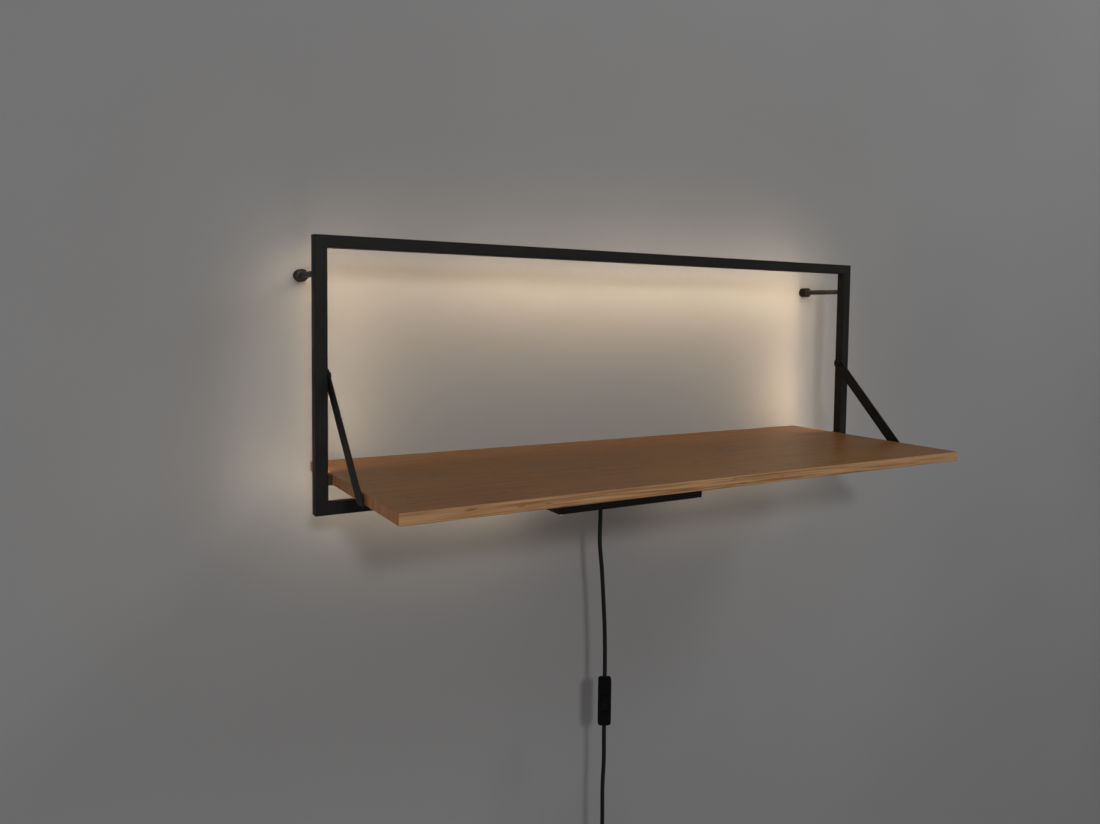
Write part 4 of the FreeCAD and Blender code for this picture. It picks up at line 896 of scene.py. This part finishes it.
@dataclass(frozen=True)
class PutAwayCoil:
    """The tied coil below the photograph's edge: it spirals in, climbs a layer, spirals out."""

    radius: float = 0.045
    pitch: float = 0.0066
    full_turns: int = 6
    entry_angle: float = math.radians(60)
    straight: float = 0.006
    points_per_turn: int = 16

    @property
    def total(self) -> float:
        """The whole turning angle, to where the cord leaves straight down."""
        return 2 * math.pi * self.full_turns + self.entry_angle

    def centre(self, entry: Vector) -> Vector:
        """Return the coil's centre.

        Args:
            entry: the end of the run that joins the coil.

        Returns:
            The centre, in the first layer's plane.
        """
        bearing = self.entry_angle
        onward = Vector((math.sin(bearing), 0, -math.cos(bearing))) * self.straight
        return entry + onward - Vector((math.cos(bearing), 0, math.sin(bearing))) * self.radius

    def point(self, angle: float, centre: Vector) -> Vector:
        """Return one point of the coil's line.

        Args:
            angle: how far the cord has turned.
            centre: the coil's centre.

        Returns:
            The point.
        """
        inward = min(angle, self.total - angle) / (2 * math.pi)
        radius = self.radius - self.pitch * inward
        climb = (angle - (self.total - math.pi) / 2) / math.pi
        layer = self.pitch * min(1.0, max(0.0, climb))
        bearing = self.entry_angle - angle
        return centre + Vector((radius * math.cos(bearing), layer, radius * math.sin(bearing)))

    def route(self, entry: Vector) -> list[Vector]:
        """Return the coil's control points, from after the entry to the plug.

        Args:
            entry: the end of the run that joins the coil.

        Returns:
            The control points.
        """
        centre = self.centre(entry)
        count = round(self.total / (2 * math.pi) * self.points_per_turn)
        step = self.total / count
        outward = 1 / math.cos(step / 2) - 1
        points = []
        for number in range(count):
            point = self.point((number + 0.5) * step, centre)
            points.append(point + Vector((point.x - centre.x, 0, point.z - centre.z)) * outward)
        tail = self.point(self.total, centre) - Vector((0, 0, self.straight))
        points.append(tail)
        return points


@dataclass
class MainsCord:
    """The black cord: from the housing to the switch, and on to the coil and the plug."""

    dresser: Dresser
    start: Point = (-0.0436, -0.0985, -0.318)
    diameter: float = 0.006
    inside_switch: float = 0.008
    coil: PutAwayCoil = PutAwayCoil()
    to_switch: tuple[Point, ...] = (
        (0.0, 0.0, 0.0190),
        (0.0, 0.0, -0.0150),
        (-0.0018, -0.0012, -0.0530),
        (0.0022, -0.0024, -0.0900),
        (0.0052, -0.0021, -0.1290),
        (0.0075, -0.0032, -0.1710),
        (0.0093, -0.0030, -0.2170),
        (0.0093, -0.0030, -0.2605),
    )
    to_coil: tuple[Point, ...] = (
        (0.0093, -0.0030, -0.3125),
        (0.0093, -0.0030, -0.3420),
        (0.0107, -0.0020, -0.3770),
        (0.0089, -0.0012, -0.4150),
        (0.0101, -0.0006, -0.4550),
        (0.0099, -0.0008, -0.4870),
        (0.0199, -0.0008, -0.5043),
        (0.0372205, -0.0008, -0.5143),
    )
    sheath: CordSheath = CordSheath("black_cord_sheath", (0.0040, 0.0036, 0.0038),
                                    (0.0080, 0.0075, 0.0078), 0.48)

    def placed(self, route: Iterable[Point]) -> list[Vector]:
        """Return a route's points in the part's frame.

        Args:
            route: points measured from where the cord leaves the housing.

        Returns:
            The points.
        """
        return [Vector(self.start) + Vector(point) for point in route]

    def line(self, name: str, points: Sequence[Vector]) -> bpy.types.Object:
        """Make a round tube that follows one smooth curve.

        Args:
            name: the object's name.
            points: the curve's control points.

        Returns:
            The curve object.
        """
        data = bpy.data.curves.new(name, "CURVE")
        data.dimensions = "3D"
        data.bevel_depth = self.diameter / 2
        data.bevel_resolution = 5
        data.resolution_u = 6
        data.use_fill_caps = True
        spline = data.splines.new("NURBS")
        spline.points.add(len(points) - 1)
        for target, point in zip(spline.points, points):
            target.co = (*point, 1.0)
        spline.order_u = 3
        spline.use_endpoint_u = True
        piece = bpy.data.objects.new(name, data)
        bpy.context.scene.collection.objects.link(piece)
        return piece

    def build(self) -> None:
        upper = self.placed(self.to_switch)
        first = self.line("cord_to_switch", upper)
        self.dresser.new_piece(first, self.sheath, "black_cord")
        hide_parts("cord_upper")
        self.length(first)
        lower = self.placed(self.to_coil)
        entry = lower[-1]
        second = self.line("cord_to_plug", lower + self.coil.route(entry))
        self.dresser.new_piece(second, self.sheath, "black_cord")
        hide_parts("cord_lower", "cord_coil")
        self.length(second)

    def length(self, piece: bpy.types.Object) -> float:
        """Return the length of a curve as it is drawn.

        Args:
            piece: the curve's object.

        Returns:
            Its length in metres.
        """
        return piece.data.splines[0].calc_length()


# ---------------------------------------------------------------- the lamp's own groups


@dataclass(frozen=True)
class StripLight:
    """The light that one stretch of strip throws on the wall, slanted towards one side.

    It stops nearly at the frame's plane, as the channel's sides let no light past it.
    """

    name: str
    place: Point
    along: Point
    inward: Point
    length: float
    power: float
    colour: Colour
    turn: float = math.radians(42)
    spread: float = math.radians(106)
    width: float = 0.008

    def build(self) -> None:
        """Make the strip's light."""
        data = bpy.data.lights.new(self.name, "AREA")
        data.shape = "RECTANGLE"
        data.size, data.size_y = self.length, self.width
        data.spread = self.spread
        data.energy = self.power
        data.color = self.colour
        back = -(Vector((0, 1, 0)) * math.cos(self.turn)
                 + Vector(self.inward) * math.sin(self.turn))
        side = Vector(self.along)
        turn = Matrix((side, back.cross(side), back)).transposed().to_4x4()
        lamp = bpy.data.objects.new(self.name, data)
        lamp.matrix_world = Matrix.Translation(self.place) @ turn
        lamp.visible_camera = False
        bpy.context.scene.collection.objects.link(lamp)


@dataclass(frozen=True)
class LitChannel:
    """One channel's stretches of strip, and each one's power in watts, straight and slanted."""

    side: str
    along: Point
    inward: Point
    length: float
    middles: tuple[float, ...]
    straight: tuple[float, ...]
    slanted: tuple[float, ...]


@dataclass
class LightFrame:
    """The channel frame, its standoffs, its strips and their opal covers."""

    dresser: Dresser
    coat: PowderCoat = PowderCoat()
    zinc: Metal = ZINC_PLATE
    # Painted light: the rods' coat is a lighter, warmer copy of the black coat, standing in for the
    # strips' warm glow on them.
    rod_coat_painted_glow: PowderCoat = PowderCoat("rod_coat_painted_glow", (0.0150, 0.0135, 0.0112),
                                      (0.0210, 0.0190, 0.0160))
    strength: float = 1.0
    mouth: float = -0.0905
    rail: float = 0.0375
    upright: float = 0.4375
    low_rail: float = -0.2805
    corner_height: float = -0.235
    corner_length: float = 0.06
    corner_power: float = 0.016
    rail_middles: tuple[float, ...] = (-0.44, -0.22, 0.0, 0.22, 0.44)
    rail_reach: float = 0.22
    upright_middles: tuple[float, ...] = (0.04, -0.12, -0.28)
    upright_reach: float = 0.16
    opal_light: Colour = OPAL_GLOW
    warm_light: Colour = (1.0, 0.73, 0.45)
    channels: tuple[LitChannel, ...] = (
        LitChannel("top", (1, 0, 0), (0, 0, -1), 0.22, (-0.33, -0.11, 0.11, 0.33),
                   (0.023, 0.054, 0.080, 0.084), (0.18, 0.25, 0.26, 0.25)),
        LitChannel("bottom", (1, 0, 0), (0, 0, 1), 0.22, (-0.33, -0.11, 0.11, 0.33),
                   (0.118, 0.245, 0.190, 0.100), ()),
        LitChannel("left", (0, 0, 1), (1, 0, 0), 0.15, (-0.04, -0.20),
                   (0.046, 0.042), (0.06, 0.085)),
        LitChannel("right", (0, 0, 1), (-1, 0, 0), 0.15, (-0.04, -0.20),
                   (0.060, 0.071), (0.08, 0.165)),
    )

    def build(self) -> None:
        """Dress the frame's pieces and light its strips."""
        dresser = self.dresser
        dresser.carried(self.coat, ("top_rail", "bottom_rail", "left_upright", "right_upright",
                                    "wall_cups", "cup_grub_screws"))
        # The rods take the copy of the coat with the warm glow painted in.
        dresser.carried(self.rod_coat_painted_glow, ("standoff_rods",))
        dresser.carried(self.zinc, ("strut_weld_nuts", "housing_screws", "housing_nuts",
                                    "lid_screws", "shelf_side_screws"))
        dresser.carried(StripBoard(), ("top_light_strip", "bottom_light_strip",
                                       "left_light_strip", "right_light_strip", "corner_links"))
        for node, sheet in self.covers():
            dresser.carried(sheet, (node,))
        for light in self.strips():
            light.build()
            LOG.info("%s: %.2f W", light.name, light.power)

    def covers(self) -> list[tuple[str, OpalSheet]]:
        """Return each cover's node and its lit sheet.

        Returns:
            Pairs of node name and finish.
        """
        rail = (0, self.rail_middles, self.rail_reach)
        upright = (2, self.upright_middles, self.upright_reach)
        shares = {
            "top": (*rail, (0.66, 0.80, 0.92, 0.90, 0.74)),
            "bottom": (*rail, (0.66, 0.90, 0.95, 0.84, 0.76)),
            "left": (*upright, (0.70, 0.90, 0.72)),
            "right": (*upright, (0.76, 0.92, 0.78)),
        }
        pairs = []
        for side, (axis, middles, reach, levels) in shares.items():
            stretches = tuple(Glow(middle, reach, level) for middle, level in zip(middles, levels))
            pairs.append((f"{side}_opal_cover",
                          OpalSheet(f"opal_{side}", axis, self.strength, stretches)))
        return pairs

    def mouth_point(self, channel: LitChannel, middle: float) -> Point:
        """Return the point in a channel's mouth at the middle of one stretch.

        Args:
            channel: the channel.
            middle: the stretch's middle along it.

        Returns:
            The point.
        """
        points = {
            "top": (middle, self.mouth, self.rail),
            "bottom": (middle, self.mouth, self.low_rail),
            "left": (-self.upright, self.mouth, middle),
            "right": (self.upright, self.mouth, middle),
        }
        return points[channel.side]

    def strips(self) -> list[StripLight]:
        """Return the light of each stretch of strip.

        Returns:
            The lights, from the top rail to the uprights and the lower left corner.
        """
        lights = []
        for channel in self.channels:
            for number, (middle, power) in enumerate(zip(channel.middles, channel.straight)):
                lights.append(StripLight(f"{channel.side}_strip_straight_{number}",
                                         self.mouth_point(channel, middle), channel.along,
                                         channel.inward, channel.length, power, self.opal_light,
                                         0.0, math.pi))
            for number, (middle, power) in enumerate(zip(channel.middles, channel.slanted)):
                lights.append(StripLight(f"{channel.side}_strip_slanted_{number}",
                                         self.mouth_point(channel, middle), channel.along,
                                         channel.inward, channel.length, power, self.warm_light))
        lights.append(StripLight("corner_strip_slanted",
                                 (-self.upright, self.mouth, self.corner_height), (0, 0, 1),
                                 (-1, 0, 0), self.corner_length, self.corner_power,
                                 self.warm_light))
        return lights


@dataclass
class BambooShelf:
    """The board, its struts and what fastens them."""

    dresser: Dresser
    board: Bamboo = Bamboo()
    coat: PowderCoat = PowderCoat()
    nylon: MouldedPlastic = MouldedPlastic("black_nylon", (0.006, 0.006, 0.006),
                                           (0.011, 0.011, 0.011), 0.5)
    # Partly painted shade: the spacers' dark brown copies the shaded gap beside the upright, warmed
    # by the strips' glow.
    spacer: MouldedPlastic = MouldedPlastic("spacer_with_painted_shade", (0.026, 0.016, 0.008),
                                            (0.038, 0.024, 0.012), 0.55)

    def build(self) -> None:
        """Dress the shelf's pieces."""
        self.dresser.carried(self.board, ("shelf_board",))
        self.dresser.carried(self.coat, ("left_strut", "right_strut", "strut_bolts",
                                         "strut_shelf_screws"))
        self.dresser.carried(self.nylon, ("strut_washers",))
        # The spacers take the brown with the gap's shade painted in.
        self.dresser.carried(self.spacer, ("shelf_spacers",))


@dataclass
class DriverHousing:
    """The housing under the frame and what it holds."""

    dresser: Dresser
    coat: PowderCoat = PowderCoat()
    white: MouldedPlastic = MouldedPlastic("white_polycarbonate", (0.62, 0.62, 0.60),
                                           (0.70, 0.70, 0.69), 0.45)
    wires: WirePair = WirePair("mains_wire_colours", -0.0985, (0.14, 0.055, 0.022),
                               (0.02, 0.07, 0.30))
    lead: CordSheath = CordSheath("strip_lead_sheath", (0.50, 0.50, 0.49), (0.60, 0.60, 0.59))
    rubber: CordSheath = CordSheath("black_rubber", (0.010, 0.010, 0.010),
                                    (0.020, 0.020, 0.020), 0.6)

    def build(self) -> None:
        """Dress the housing's pieces."""
        dresser = self.dresser
        dresser.carried(self.coat, ("housing_shell", "housing_lid"))
        dresser.carried(self.white, ("led_driver", "terminal_block"))
        dresser.carried(self.wires, ("mains_wires",))
        dresser.carried(self.lead, ("output_lead",))
        dresser.carried(self.rubber, ("lead_grommet",))


@dataclass
class CordFittings:
    """The switch on the cord, the strain relief, the coil's strap and the plug's pins."""

    dresser: Dresser
    case: MouldedPlastic = MouldedPlastic("black_switch_case", (0.0026, 0.0022, 0.0024),
                                          (0.0046, 0.0040, 0.0043), 0.6, 0.04)
    rocker: MouldedPlastic = MouldedPlastic("black_rocker", (0.0030, 0.0026, 0.0028),
                                            (0.0052, 0.0046, 0.0049), 0.52, 0.05)
    zinc: Metal = ZINC_PLATE
    brass: Metal = Metal("contact_brass", (0.76, 0.58, 0.27), (0.60, 0.42, 0.18), 0.32)
    nickel: Metal = Metal("pin_nickel", (0.70, 0.68, 0.63), (0.58, 0.56, 0.51), 0.22,
                          (1400.0, 1400.0, 60.0))

    def build(self) -> None:
        """Dress the cord's fittings."""
        dresser = self.dresser
        dresser.carried(self.case, ("switch_front_shell", "switch_back_shell", "cord_relief"))
        dresser.carried(self.rocker, ("switch_rocker",))
        dresser.carried(self.zinc, ("switch_screws",))
        dresser.carried(self.brass, ("switch_contacts",))
        dresser.carried(HookStrap(), ("coil_tie",))
        dresser.carried(self.nickel, ("plug_pins",))
        dresser.carried(self.case, ("plug_body",))


# ---------------------------------------------------------------- build


def main() -> None:
    """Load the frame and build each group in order."""
    logging.basicConfig(level=logging.INFO, format="%(name)s %(message)s")
    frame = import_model()
    dresser = Dresser(frame["nodes"])
    PhotoCamera().build()
    builders: list[Callable[[], None]] = [
        MainsCord(dresser).build,
        LightFrame(dresser).build,
        BambooShelf(dresser).build,
        DriverHousing(dresser).build,
        CordFittings(dresser).build,
        Studio(dresser).build,
    ]
    for build in builders:
        build()
    LOG.info("boxes written")


if __name__ == "__main__":
    main()
